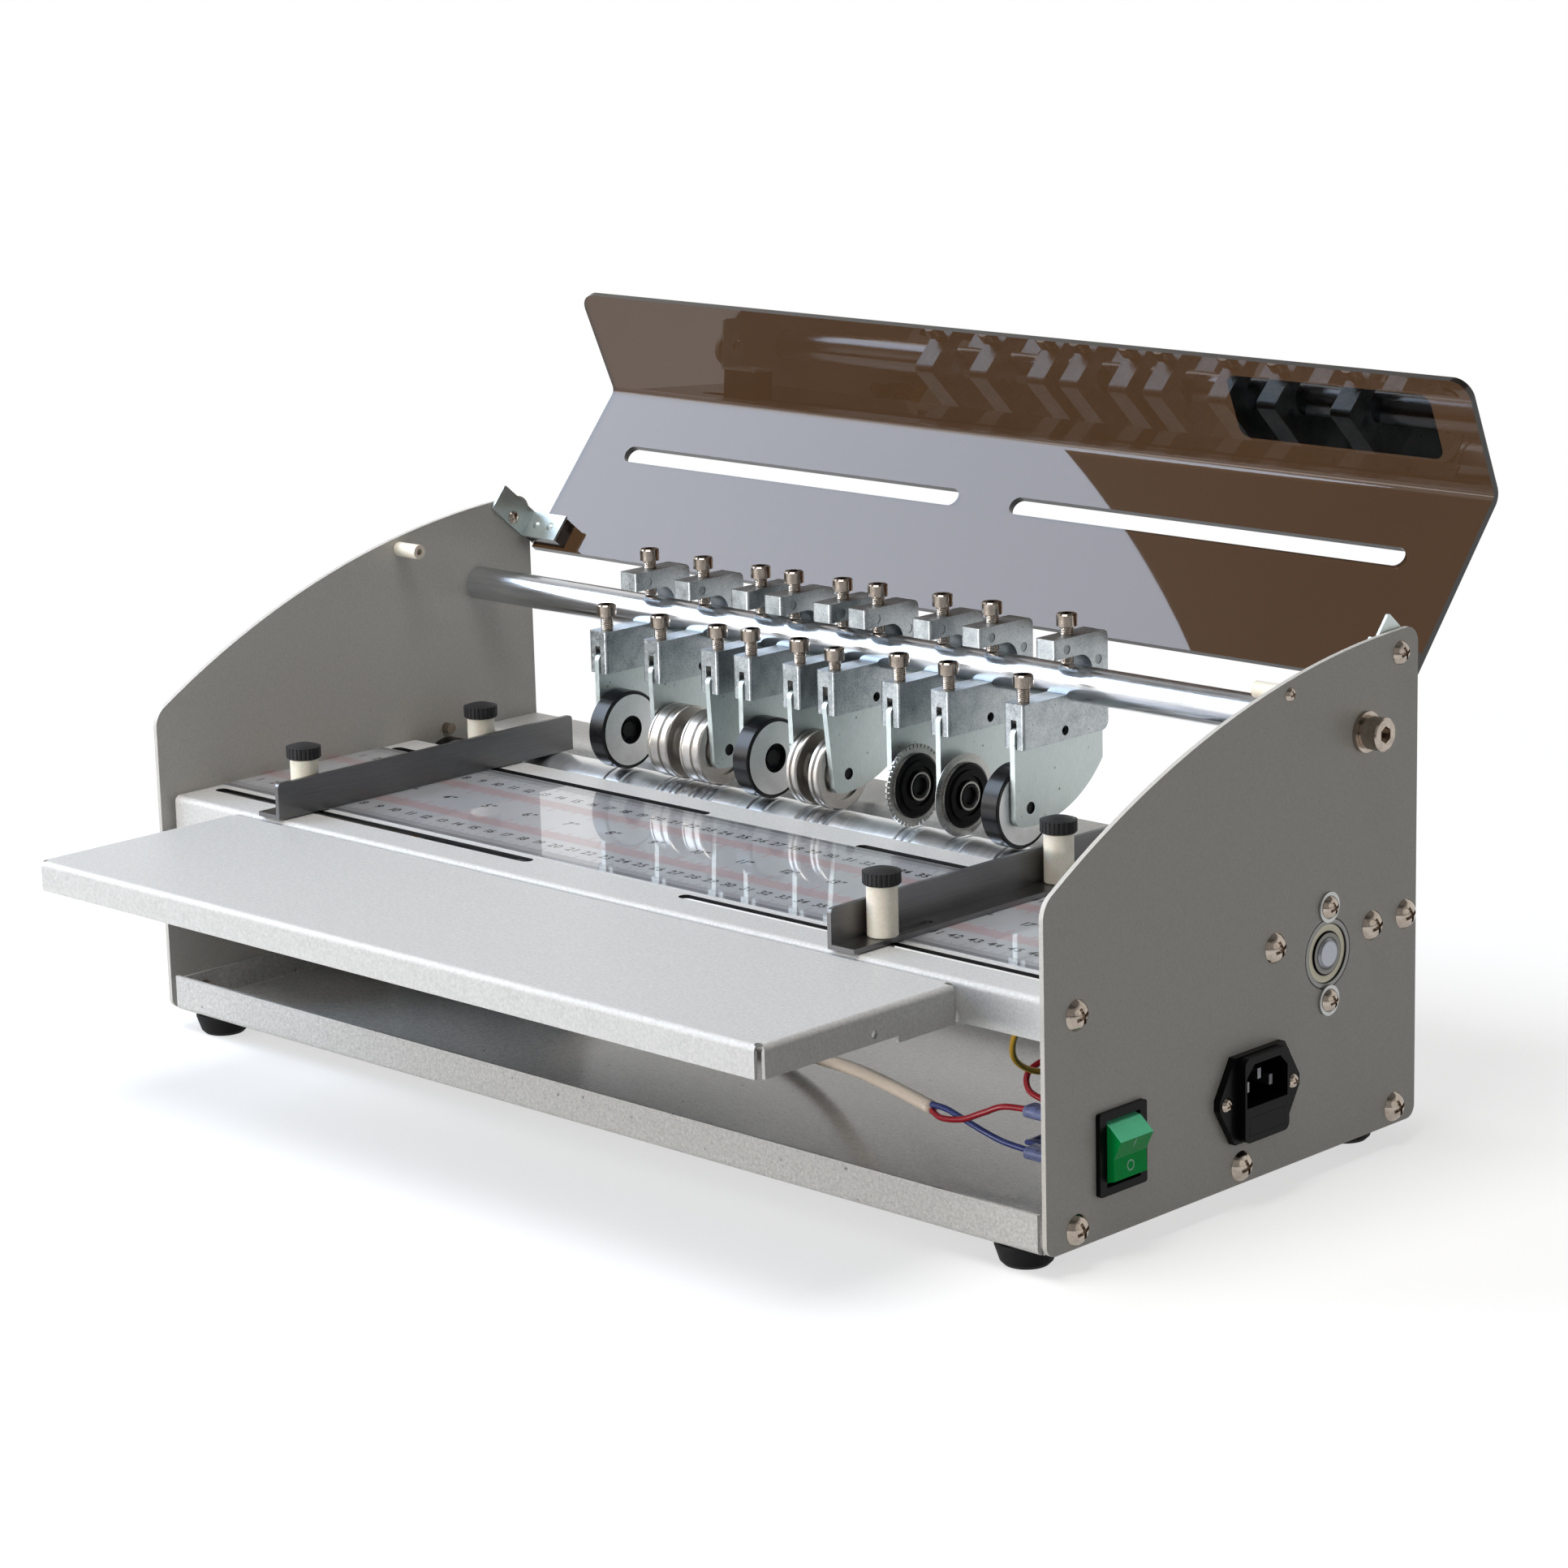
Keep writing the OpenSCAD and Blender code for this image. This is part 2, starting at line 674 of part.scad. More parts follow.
module right_side_plate() {
    color("#c4c3be")
        difference() {
            plate_blank();
            along_x(plate_inner - over, plate_t + 2 * over) {
                translate([switch_y, switch_z])
                    square([switch_body[0] + pass, switch_body[1] + pass], center = true);
                translate([inlet_y, inlet_z])
                    square([inlet_body[1] + pass, inlet_body[2] + pass], center = true);
                for (side = [-1, 1])
                    translate([inlet_y + side * inlet_pitch / 2, inlet_z]) circle(r = m3[0] + pass);
            }
        }
}

// Sheet-metal pieces
module base_pan() {
    color("#c9c8c3")
        difference() {
            translate([0, 0, seat]) mirror([0, 0, 1])
                flanged_sheet(sheet_half, pan_inset, plate_depth - pan_inset, 0,
                              pan_lip, pan_lip, pan_lip - 2);
            both_sides() {
                for (y = pan_screw_y)
                    rod_x(sheet_half - sheet_t - over, sheet_t + 2 * over, m6[0] + press, [y, pan_screw_z]);
                for (y = foot_y)
                    rod_z(-over, sheet_t + 2 * over, m5[0] + press, [foot_x, y]);
            }
        }
}

module feed_table() {
    color("#cfcec9")
        difference() {
            flanged_sheet(sheet_half, table_front, table_back, table_z,
                          table_flange, table_flange - 4, table_flange);
            both_sides() {
                for (y = [slot_front_y, slot_rear_y])
                    translate([0, y, table_z - sheet_t - over])
                        linear_extrude(sheet_t + 2 * over)
                            round_slot(slot_inner, plate_inner - slot_margin, slot_w);
                for (y = table_screw_y)
                    rod_x(sheet_half - sheet_t - over, sheet_t + 2 * over, m6[0] + press, [y, table_screw_z]);
                rod_y(table_front - over, sheet_t + 2 * over, m4[0] + press, [tray_screw_x, tray_screw_z]);
            }
        }
}

module ruler_sheet() {
    half = sheet_half - bend_r;
    color("#d5d6d8")
        translate([-half, ruler_front, table_z]) cube([2 * half, ruler_depth, ruler_t]);
}

module front_tray() {
    half = tray_w / 2;
    back = table_front - seat;
    tab_start = back - relief - tray_tab_len;
    notch_r = 1.6;
    hole_at = [back - tray_hole_back, tray_screw_z - 1];
    color("#cdccc7")
        difference() {
            union() {
                flanged_sheet(half, tray_front, back, tray_z, tray_flange, tray_tab_h, tray_flange);
                both_sides()
                    translate([half - sheet_t, tab_start, tray_z - tray_tab_h])
                        cube([sheet_t, tray_tab_len, tray_tab_h - bend_r]);
            }
            both_sides() {
                rod_y(back - sheet_t - over, sheet_t + 2 * over, m4[0] + pass, [tray_screw_x, tray_screw_z]);
                rod_x(half - sheet_t - over, sheet_t + 2 * over, notch_r, hole_at);
                for (y = [tray_front + relief, back - relief])
                    rod_z(tray_z - sheet_t - over, sheet_t + 2 * over, notch_r, [half - relief, y]);
            }
        }
}

module delivery_table() {
    color("#cfcec9")
        difference() {
            flanged_sheet(
                sheet_half, delivery_front, delivery_back, table_z - pass,
                delivery_flange - 10, delivery_flange, delivery_flange
            );
            both_sides()
                for (y = delivery_screw_y)
                    rod_x(sheet_half - sheet_t - over, sheet_t + 2 * over, m6[0] + press,
                          [y, delivery_screw_z]);
        }
}

// Tool bar and fasteners
module tool_bar() {
    half = plate_inner - seat;
    chamfer = 1;
    color("#e4e6e8")
        difference() {
            turned_x(-half, bar_at) polygon([
                [0, 0], [bar_r - chamfer, 0], [bar_r, chamfer],
                [bar_r, 2 * half - chamfer], [bar_r - chamfer, 2 * half], [0, 2 * half]
            ]);
            both_sides()
                rod_x(half - bar_bolt[3], bar_bolt[3] + over, bar_bolt[0] + press, bar_at);
        }
}

module screw_at(x, at) {
    translate([x, at[0], at[1]]) rotate([0, 90, 0]) children();
}

module ring_x(start, len, outer, inner, at) {
    turned_x(start, at) translate([inner, 0]) square([outer - inner, len]);
}

module plate_screws() {
    hinge_head = [4.8, 3];
    hinge_cap = [3, 1.7];
    bar_washer_t = 1.6;
    foot_recess = 3.2;
    color("#d8d4cc") {
        both_sides() {
            for (at = plate_screw_at)
                screw_at(plate_outer + seat, at) cross_screw(m6);
            for (at = retainer_at) {
                ring_x(plate_outer + seat, washer_t, m5[1] + 1.4, m5[0] + press, at);
                screw_at(plate_outer + 2 * seat + washer_t, at) cross_screw(m5);
            }
            ring_x(plate_outer + seat, bar_washer_t, 8, bar_bolt[0] + press, bar_at);
            screw_at(plate_outer + 2 * seat + bar_washer_t, bar_at) socket_screw(bar_bolt, 3.4);
            screw_at(plate_outer + seat, hinge_at)
                cross_screw([hinge_r, hinge_head[0], hinge_head[1], plate_outer - bracket_x + over]);
            screw_at(bracket_x - seat, hinge_at)
                mirror([0, 0, 1]) rotate_extrude() dome_half(hinge_cap[0], hinge_cap[1]);
            screw_at(plate_outer + seat, stop_at) cross_screw(m3);
            for (y = foot_y)
                translate([foot_x, y, -foot_h + foot_recess]) mirror([0, 0, 1])
                    cross_screw([m5[0], m5[1], 2, foot_h - foot_recess + sheet_t + 2]);
            translate([tray_screw_x, table_front - 2 * seat - sheet_t, tray_screw_z])
                rotate([90, 0, 0]) cross_screw(m4);
        }
        for (side = [-1, 1])
            screw_at(plate_outer + inlet_flange_t + 2 * seat, [inlet_y + side * inlet_pitch / 2, inlet_z])
                cross_screw(m3);
    }
}

module roller_bearings() {
    shield_t = 0.5;
    shield_inset = 0.6;
    ring_r = bearing_r - 2.3;
    color("#b9b8b2")
        both_sides() {
            ring_x(bearing_inner, bearing_w, bearing_r, ring_r, roller_at);
            for (x = [bearing_inner + shield_inset, plate_outer - shield_inset - shield_t])
                ring_x(x, shield_t, ring_r + 0.4, race_r + 0.3, roller_at);
        }
}

module stop_pins() {
    color("#eceae4")
        both_sides()
            ring_x(plate_inner - seat - stop_len, stop_len, stop_d / 2, m3[0] + press, stop_at);
}

module rubber_feet() {
    lower_r = foot_r - 2;
    edge = 1.5;
    recess_r = 5.4;
    recess = 3.3;
    color("#1b1b1c")
        both_sides()
            for (y = foot_y)
                translate([foot_x, y, 0])
                    rotate_extrude() polygon([
                        [m5[0] + press, 0], [foot_r, 0], [foot_r, -1.5], [lower_r, -foot_h + edge],
                        [lower_r - edge, -foot_h], [recess_r, -foot_h], [recess_r, -foot_h + recess],
                        [m5[0] + press, -foot_h + recess]
                    ]);
}

// Mains inlet with fuse drawer: a flange with two ears over a boxed socket
module inlet_outline() {
    ear_r = 4;
    half_w = inlet_pitch / 2 - 5;
    half_h = 17;
    difference() {
        union() {
            square([2 * half_w, 2 * half_h], center = true);
            polygon([
                [-half_w, half_h], [half_w, half_h],
                [inlet_pitch / 2 + ear_r, 2], [inlet_pitch / 2 + ear_r, -2],
                [half_w, -half_h], [-half_w, -half_h],
                [-inlet_pitch / 2 - ear_r, -2], [-inlet_pitch / 2 - ear_r, 2]
            ]);
        }
        for (side = [-1, 1])
            translate([side * inlet_pitch / 2, 0]) circle(r = m3[0] + press);
    }
}

module inlet_socket_outline() {
    w = inlet_socket[0];
    h = inlet_socket[1];
    cut = 4.5;
    polygon([
        [-w / 2, -h / 2], [w / 2, -h / 2], [w / 2, h / 2 - cut], [w / 2 - cut, h / 2],
        [-w / 2 + cut, h / 2], [-w / 2, h / 2 - cut]
    ]);
}

module mains_inlet() {
    face = plate_outer + seat + inlet_flange_t + inlet_rise;
    block_r = 3;
    drawer_z = inlet_z - 10.4;
    drawer = [20, 21, 7];
    pin_len = 13;
    color("#161617") {
        difference() {
            union() {
                along_x(plate_outer + seat, inlet_flange_t) translate([inlet_y, inlet_z]) inlet_outline();
                along_x(plate_outer + seat, inlet_flange_t + inlet_rise)
                    translate([inlet_y, inlet_z]) round_rect(inlet_block, block_r);
                translate([inlet_back, inlet_y - inlet_body[1] / 2, inlet_z - inlet_body[2] / 2])
                    cube([plate_outer + seat + over - inlet_back, inlet_body[1], inlet_body[2]]);
            }
            along_x(face - inlet_socket[2], inlet_socket[2] + over)
                translate([inlet_y, inlet_z + inlet_socket_z]) inlet_socket_outline();
            translate([face - drawer[0], inlet_y - drawer[1] / 2 - seat, drawer_z - drawer[2] / 2 - seat])
                cube([drawer[0] + over, drawer[1] + 2 * seat, drawer[2] + 2 * seat]);
        }
        translate([face - drawer[0] + seat, inlet_y - drawer[1] / 2, drawer_z - drawer[2] / 2])
            cube([drawer[0] - seat, drawer[1], drawer[2]]);
        for (p = [[-7, -1.8], [0, 2.2], [7, -1.8]])
            translate([face - inlet_socket[2] - over, inlet_y + p[0] - 1,
                       inlet_z + inlet_socket_z + p[1] - 2])
                cube([pin_len + over, 2, 4]);
        for (p = inlet_tabs)
            translate([inlet_back - tab_size[0], inlet_y + p[0] - inlet_tab_w / 2,
                       inlet_z + p[1] - tab_size[2] / 2])
                cube([tab_size[0] + over, inlet_tab_w, tab_size[2]]);
    }
}

// Rocker switch
module switch_housing() {
    edge = 1.2;
    floor_t = 3;
    color("#18181a")
        difference() {
            union() {
                along_x(plate_outer + seat, bezel_t)
                    translate([switch_y, switch_z]) round_rect([switch_w, switch_h], edge);
                translate([switch_back, switch_y - switch_body[0] / 2, switch_z - switch_body[1] / 2])
                    cube([plate_outer + seat + over - switch_back, switch_body[0], switch_body[1]]);
                for (i = [-1, 1])
                    for (j = [-1, 1])
                        translate([
                            switch_back - tab_size[0],
                            switch_y + i * tab_pitch[0] / 2 - tab_size[1] / 2,
                            switch_z + j * tab_pitch[1] / 2 - tab_size[2] / 2
                        ])
                            cube([tab_size[0] + over, tab_size[1], tab_size[2]]);
            }
            translate([switch_back + floor_t, switch_y - switch_opening[0] / 2,
                       switch_z - switch_opening[1] / 2])
                cube([switch_body[2] + plate_t + bezel_t + over, switch_opening[0], switch_opening[1]]);
        }
}

module rocker_section() {
    half = rocker_size[1] / 2;
    crown = 8.2;
    ridge = [10.2, half - 4.1];
    shoulder = [3.6, half - 0.3];
    skirt = -4;
    polygon([
        [skirt, -half + 2.5], [0, -half], [shoulder[0], -shoulder[1]], [ridge[0], -ridge[1]],
        [crown, 0], ridge, shoulder, [0, half], [skirt, half - 2.5]
    ]);
}

module switch_rocker() {
    color("#18a55b")
        translate([rocker_axis_x, switch_y - rocker_size[0] / 2, switch_z])
            rotate([0, rocker_tilt, 0])
                along_y(0, rocker_size[0]) rocker_section();
}

// Drive
module motor_cable() {
    color("#d8c8b0") swept_tube(cable_route, cable_r, 3);
}

module wiring() {
    color("#b3202a") {
        swept_tube(red_route, wire_r, 3);
        swept_tube(live_route, wire_r, 3);
    }
    color("#2b4a9c") {
        swept_tube(blue_route, wire_r, 3);
        swept_tube(neutral_route, wire_r, 3);
    }
    color("#8f9a2c") swept_tube(earth_route, wire_r, 3);
}

// Clear sleeve over a flat push-on terminal, along X, with the wire hole at its left end
module crimp_sleeve() {
    wire_hole = 4;
    tab_hole = tab_size[0] + 1;
    difference() {
        along_x(0, crimp_len) round_rect(crimp_size, 2);
        translate([crimp_len - tab_hole, -tab_size[1] / 2 - run_fit, -tab_size[2] / 2 - run_fit])
            cube([tab_hole + over, tab_size[1] + 2 * run_fit, tab_size[2] + 2 * run_fit]);
        rod_x(-over, wire_hole + over, wire_r + run_fit, [0, 0]);
    }
}

module crimp_sleeves() {
    color("#8fa6d8") {
        for (i = [-1, 1])
            for (j = [-1, 1])
                translate([
                    switch_back - crimp_len,
                    switch_y + i * tab_pitch[0] / 2, switch_z + j * tab_pitch[1] / 2
                ])
                    crimp_sleeve();
        for (p = inlet_tabs)
            translate([inlet_back - crimp_len, inlet_y + p[0], inlet_z + p[1]]) crimp_sleeve();
    }
}

module gear_motor() {
    rim = 2;
    shaft_len = motor_x - gear_x - seat;
    gland_depth = 4;
    ear_r = 5;
    color("#8d9094")
        difference() {
            union() {
                turned_x(motor_x, motor_at) polygon([
                    [0, 0], [motor_r, 0], [motor_r, motor_len * 0.36], [motor_r - rim, motor_len * 0.36],
                    [motor_r - rim, motor_len - rim], [motor_r - 2 * rim, motor_len], [0, motor_len]
                ]);
                rod_x(gear_x, shaft_len + over, motor_shaft_r, motor_axis);
                for (side = [-1, 1])
                    rod_x(motor_x, 3, ear_r, motor_at + [side * (motor_r + 1), 0]);
            }
            rod_x(motor_x + motor_len - gland_depth, gland_depth + over, cable_r + run_fit, motor_at);
            for (side = [-1, 1])
                rod_x(motor_x - over, m4[3] + over, m4[0] + press, motor_at + [side * (motor_r + 1), 0]);
        }
}

module motor_bracket() {
    foot_len = 26;
    ear = motor_r + 1;
    low = seat + sheet_t + seat;
    width = 2 * (motor_r + 8);
    top = motor_axis[1] + 12;
    color("#b7b9bb") {
        difference() {
            union() {
                translate([motor_plate_x, motor_at[0] - width / 2, low]) cube([sheet_t, width, top - low]);
                translate([motor_plate_x, motor_at[0] - width / 2, low]) cube([foot_len, width, sheet_t]);
            }
            rod_x(motor_plate_x - over, sheet_t + 2 * over, motor_shaft_r + 3, motor_axis);
            for (side = [-1, 1]) {
                rod_x(motor_plate_x - over, sheet_t + 2 * over, m4[0] + pass, motor_at + [side * ear, 0]);
                rod_z(low - over, sheet_t + 2 * over, m4[0] + pass,
                      [motor_plate_x + foot_len - 8, motor_at[0] + side * ear]);
            }
        }
        for (side = [-1, 1])
            translate([motor_plate_x - seat, motor_at[0] + side * ear, motor_at[1]])
                rotate([0, -90, 0]) cross_screw(m4);
    }
}

module roller_gear() {
    hub_r = 10;
    color("#c9a24b")
        difference() {
            along_x(gear_x, gear_w) translate(roller_at) gear_outline(roller_teeth, 0);
            rod_x(gear_x - over, gear_w + 2 * over, journal_r + press, roller_at);
            ring_x(gear_x - over, 2 + over, hub_r + 1.5, hub_r - 1.5, roller_at);
        }
}

module motor_gear() {
    to_roller = atan2(-drive_dir[1], -drive_dir[0]);
    roller_phase = (to_roller + 180) * roller_teeth / 360;
    phase = to_roller + (0.5 + roller_phase - floor(roller_phase)) * 360 / motor_teeth;
    web_r = gear_module * motor_teeth / 2 - 4;
    web_in = 8;
    color("#c9a24b")
        difference() {
            along_x(gear_x, gear_w) translate(motor_axis) gear_outline(motor_teeth, phase);
            rod_x(gear_x - over, gear_w + 2 * over, motor_shaft_r + run_fit, motor_axis);
            ring_x(gear_x - over, 2 + over, web_r, web_in, motor_axis);
        }
}

// Driven roller: a turned core with journals, and sleeves clamped along it under the tools
function wheel_w(kind) =
    kind == "feed" ? feed_wheel_w :
    kind == "wide" ? wide_crease_w :
    kind == "narrow" ? narrow_crease_w : blade_hub_w;
function wheel_x(tool) = tool[0] + tool[2] * (carrier_t / 2 + wheel_side_gap + wheel_w(tool[1]) / 2);
// Grooves of a crease wheel from its left side: place, width at the bottom, depth
function crease_grooves(kind) =
    kind == "wide" ? [[2, 0.4, 0.5], [0.63 * wide_crease_w, 1.1, 1]] : [[narrow_crease_w / 2, 1, 1]];
function die_grooves(kind) = kind == "wide" ? [-0.3, 0.11, 0.4] : kind == "narrow" ? [-0.3, 0.3] : [];

module sleeve(from, to, grooves) {
    edge = 0.6;
    groove_w = 1.6;
    groove_depth = 1;
    hole_r = 1.4;
    hole_turn = 58;
    hole_from = 4.5;
    len = to - from;
    difference() {
        turned_x(from, roller_at) polygon([
            [core_r + press, 0], [roller_r - edge, 0], [roller_r, edge],
            [roller_r, len - edge], [roller_r - edge, len], [core_r + press, len]
        ]);
        for (x = grooves)
            ring_x(x - groove_w / 2, groove_w, roller_r + over, roller_r - groove_depth, roller_at);
        if (len > 2 * hole_from)
            translate([to - hole_from, roller_y, roller_z])
                rotate([hole_turn, 0, 0])
                    translate([0, 0, core_r + press]) cylinder(r = hole_r, h = roller_r);
    }
}

module crease_roller() {
    half_die = [for (t = tools) wheel_w(t[1]) / 2 + 0.6];
    middle = [for (t = tools) wheel_x(t)];
    start = gear_x + gear_w + 1;
    last = len(tools) - 1;
    color("#d3d6d9") {
        turned_x(0, roller_at) polygon([
            [0, -plate_outer - 0.8], [journal_r - 0.8, -plate_outer - 0.8], [journal_r, -plate_outer],
            [journal_r, start], [core_r, start], [core_r, sleeve_end], [journal_r, sleeve_end],
            [journal_r, plate_outer], [journal_r - 0.8, plate_outer + 0.8], [0, plate_outer + 0.8]
        ]);
        for (i = [0 : last]) {
            kind = tools[i][1];
            blade = kind == "perforate" || kind == "slit";
            grooves = blade ? [middle[i]] : [for (g = die_grooves(kind)) middle[i] + g * wheel_w(kind)];
            before = i == 0 ? start : middle[i - 1] + half_die[i - 1];
            sleeve(middle[i] - half_die[i] + sleeve_gap, middle[i] + half_die[i] - sleeve_gap, grooves);
            if (middle[i] - half_die[i] - before > 3)
                sleeve(before + sleeve_gap, middle[i] - half_die[i] - sleeve_gap, []);
        }
        sleeve(middle[last] + half_die[last] + sleeve_gap, sleeve_end, []);
        both_sides()
            ring_x(bearing_inner, bearing_w, race_r, journal_r + press, roller_at);
    }
}

// Tool holders: a C-shaped block hooked on the bar, slotted for the wheel carrier
module holder_section() {
    throat_r = (hook_low - arm_top) / 2;
    difference() {
        union() {
            translate([arm_front, arm_low]) square([holder_back - arm_front, arm_top - arm_low]);
            translate([hook_front, arm_top - over])
                square([holder_back - hook_front, hook_top - arm_top + over]);
        }
        translate([arm_front - over, arm_top]) square([throat_y - arm_front + over, hook_low - arm_top]);
        translate([throat_y, arm_top + throat_r]) circle(r = throat_r);
        translate(bar_at) circle(r = bar_r + run_fit);
        corner_relief([holder_back - 3, hook_top - 3], 3, [1, 0], [0, 1]);
        corner_relief([holder_back - 4, arm_low + 4], 4, [1, 0], [0, -1]);
    }
}

// Stands in for a rounded upright edge: what lies outside it is cut away between two heights
module upright_relief(y, low, high) {
    side = holder_w / 2 - holder_edge_r;
    translate([0, 0, low - over])
        linear_extrude(high - low + 2 * over)
            for (turn = [-1, 1])
                corner_relief([turn * side, y + holder_edge_r], holder_edge_r, [turn, 0], [0, -1]);
}

module tool_holder(i) {
    x = tools[i][0];
    key_r = 2.3;
    mark_r = 2;
    mark_depth = 0.25;
    pin_inset = 1;
    pin_bore_r = 1;
    clamp_tip = bar_z + bar_r + seat;
    rest_top = carrier_top - (pin_at[0] - adjust_y) * tan(tools[i][3]);
    adjust_tip = rest_top + (pin_at[0] - adjust_y + tool_screw_r) * tan(lift) + seat;
    adjust_head_z = rest_top + adjust_rise;
    color("#a9adaf") {
        difference() {
            along_x(x - holder_w / 2, holder_w) holder_section();
            translate([x, 0, 0]) {
                upright_relief(arm_front, arm_low, arm_top);
                upright_relief(hook_front, hook_low, hook_top);
            }
            for (at = [[bar_y - 6.2, hook_top - 4.6], [bar_y + 13.3, hook_low - 3.6]])
                rod_x(x + holder_w / 2 - mark_depth, over, mark_r, at);
            along_x(x - carrier_t / 2 - slot_gap, carrier_t + 2 * slot_gap)
                translate([arm_front - over, arm_low - over])
                    square([holder_back - arm_front + 2 * over, slot_top - arm_low + over]);
            rod_x(x - holder_w, 2 * holder_w, pin_r + press, pin_at);
            rod_z(hook_low - over, hook_top - hook_low + 2 * over, tool_screw_r + press, [x, bar_y]);
            rod_z(slot_top - over, arm_top - slot_top + 2 * over, tool_screw_r + press, [x, adjust_y]);
        }
        translate([x, bar_y, clamp_head_z])
            socket_screw(concat(tool_screw, clamp_head_z - clamp_tip), key_r);
        translate([x, adjust_y, adjust_head_z])
            socket_screw(concat(tool_screw, adjust_head_z - adjust_tip), key_r);
        ring_x(x - holder_w / 2 + pin_inset, holder_w - 2 * pin_inset, pin_r, pin_bore_r, pin_at);
    }
}

// Wheel carriers: fan-shaped plates on the pivot pin, each with an axle for its wheel
module carrier_outline() {
    nose_r = 4;
    top_r = 3;
    nose_c = [carrier_front + nose_r, axle_z - 3];
    arc_low = carrier_arc_c[1] - carrier_arc_r;
    difference() {
        intersection() {
            polygon([
                [carrier_front, arc_low], [carrier_back, arc_low], [carrier_back, carrier_back_top],
                [pin_at[0], carrier_top], [carrier_front, carrier_top]
            ]);
            translate(carrier_arc_c) circle(r = carrier_arc_r, $fn = 180);
        }
        corner_relief(nose_c, nose_r, [-1, 0], [0, -1]);
        corner_relief([carrier_front + top_r, carrier_top - top_r], top_r, [-1, 0], [0, 1]);
        translate(pin_at) circle(r = pin_r + run_fit);
        translate(axle_at) circle(r = axle_r + press);
    }
}

// Turns what hangs on a holder's pivot pin to where the adjusting screw lets it rest
module on_pivot(i) {
    translate([tools[i][0], pin_at[0], pin_at[1]])
        rotate([tools[i][3], 0, 0])
            translate([0, -pin_at[0], -pin_at[1]]) children();
}

module wheel_carrier(i) {
    w = wheel_w(tools[i][1]);
    end_inset = 0.8;
    color("#b9c2bb")
        on_pivot(i) {
            along_x(-carrier_t / 2, carrier_t) carrier_outline();
            mirror([tools[i][2] < 0 ? 1 : 0, 0, 0]) {
                from = -carrier_t / 2 + end_inset;
                head_at = carrier_t / 2 + wheel_side_gap + w - axle_sunk + 2 * seat;
                rod_x(from, head_at - from + over, axle_r, axle_at);
                rod_x(head_at, axle_head_h, axle_head_r, axle_at);
            }
        }
}

// Wheels, drawn along X from the face next to the carrier
module wheel_place(i) {
    on_pivot(i)
        mirror([tools[i][2] < 0 ? 1 : 0, 0, 0])
            translate([carrier_t / 2 + wheel_side_gap, axle_y, axle_z])
                rotate([0, 90, 0]) children();
}

module feed_wheel(i) {
    w = feed_wheel_w;
    rim = wheel_r - tyre_t;
    color("#d2d3d2")
        wheel_place(i) rotate_extrude() polygon([
            [axle_r + run_fit, 0], [rim - press, 0], [rim - press, w],
            [hub_bore_r, w], [hub_bore_r, w - axle_sunk], [axle_r + run_fit, w - axle_sunk]
        ]);
    color("#1d1d1f")
        wheel_place(i) rotate_extrude() polygon([
            [rim, 0], [wheel_r - 0.5, 0], [wheel_r, 0.5], [wheel_r, w - 0.5], [wheel_r - 0.5, w], [rim, w]
        ]);
}

module crease_wheel(i) {
    kind = tools[i][1];
    w = wheel_w(kind);
    cuts = crease_grooves(kind);
    last = len(cuts) - 1;
    grooves = tools[i][2] > 0 ? cuts : [for (k = [last : -1 : 0]) [w - cuts[k][0], cuts[k][1], cuts[k][2]]];
    edge = 0.8;
    slope = 0.3;
    dish = 1.2;
    boss = w + (kind == "wide" ? 2.4 : 0);
    dish_r = crease_r - 4.4;
    boss_r = hub_bore_r + 2.2;
    color("#cfcdc8")
        wheel_place(i)
            rotate_extrude() polygon(concat(
                [[axle_r + run_fit, 0], [boss_r, 0], [boss_r, dish], [dish_r, dish], [dish_r, 0],
                 [crease_r - edge, 0], [crease_r - slope, slope], [crease_r, edge]],
                [for (g = grooves) each [
                    [crease_r, g[0] - g[1] / 2 - slope], [crease_r - g[2], g[0] - g[1] / 2],
                    [crease_r - g[2], g[0] + g[1] / 2], [crease_r, g[0] + g[1] / 2 + slope]
                ]],
                [[crease_r, w - edge], [crease_r - slope, w - slope], [crease_r - edge, w],
                 [dish_r, w], [dish_r, w - dish], [boss_r, w - dish], [boss_r, boss],
                 [hub_bore_r, boss], [hub_bore_r, w - axle_sunk], [axle_r + run_fit, w - axle_sunk]]
            ));
}

// Hub of a blade wheel: black flanges that clamp the disc round a small bearing
module blade_hub(i) {
    w = blade_hub_w;
    ring_r = 6.2;
    race = [4.6, 5.3];
    race_inset = 0.6;
    step_r = [8.4, 10.6];
    step_t = [0.4, 1.3, 1.9];
    color("#1c1c1d")
        wheel_place(i) rotate_extrude() polygon([
            [ring_r + press, step_t[1]], [step_r[0], step_t[1]], [step_r[0], step_t[0]],
            [step_r[1], step_t[0]], [step_r[1], step_t[1]], [blade_r - 1, step_t[1]],
            [blade_r, step_t[2]], [blade_r, w - step_t[2]],
            [blade_r - 1, w - step_t[1]], [step_r[1], w - step_t[1]], [step_r[1], w - step_t[0]],
            [step_r[0], w - step_t[0]], [step_r[0], w - step_t[1]], [ring_r + press, w - step_t[1]]
        ]);
    color("#b4b4b0")
        wheel_place(i) rotate_extrude() polygon([
            [axle_r + run_fit, 0], [race[0], 0], [race[0], race_inset], [race[1], race_inset], [race[1], 0],
            [ring_r, 0], [ring_r, w], [race[1], w], [race[1], w - race_inset], [race[0], w - race_inset],
            [race[0], w], [blade_bore_r, w], [blade_bore_r, w - axle_sunk], [axle_r + run_fit, w - axle_sunk]
        ]);
}

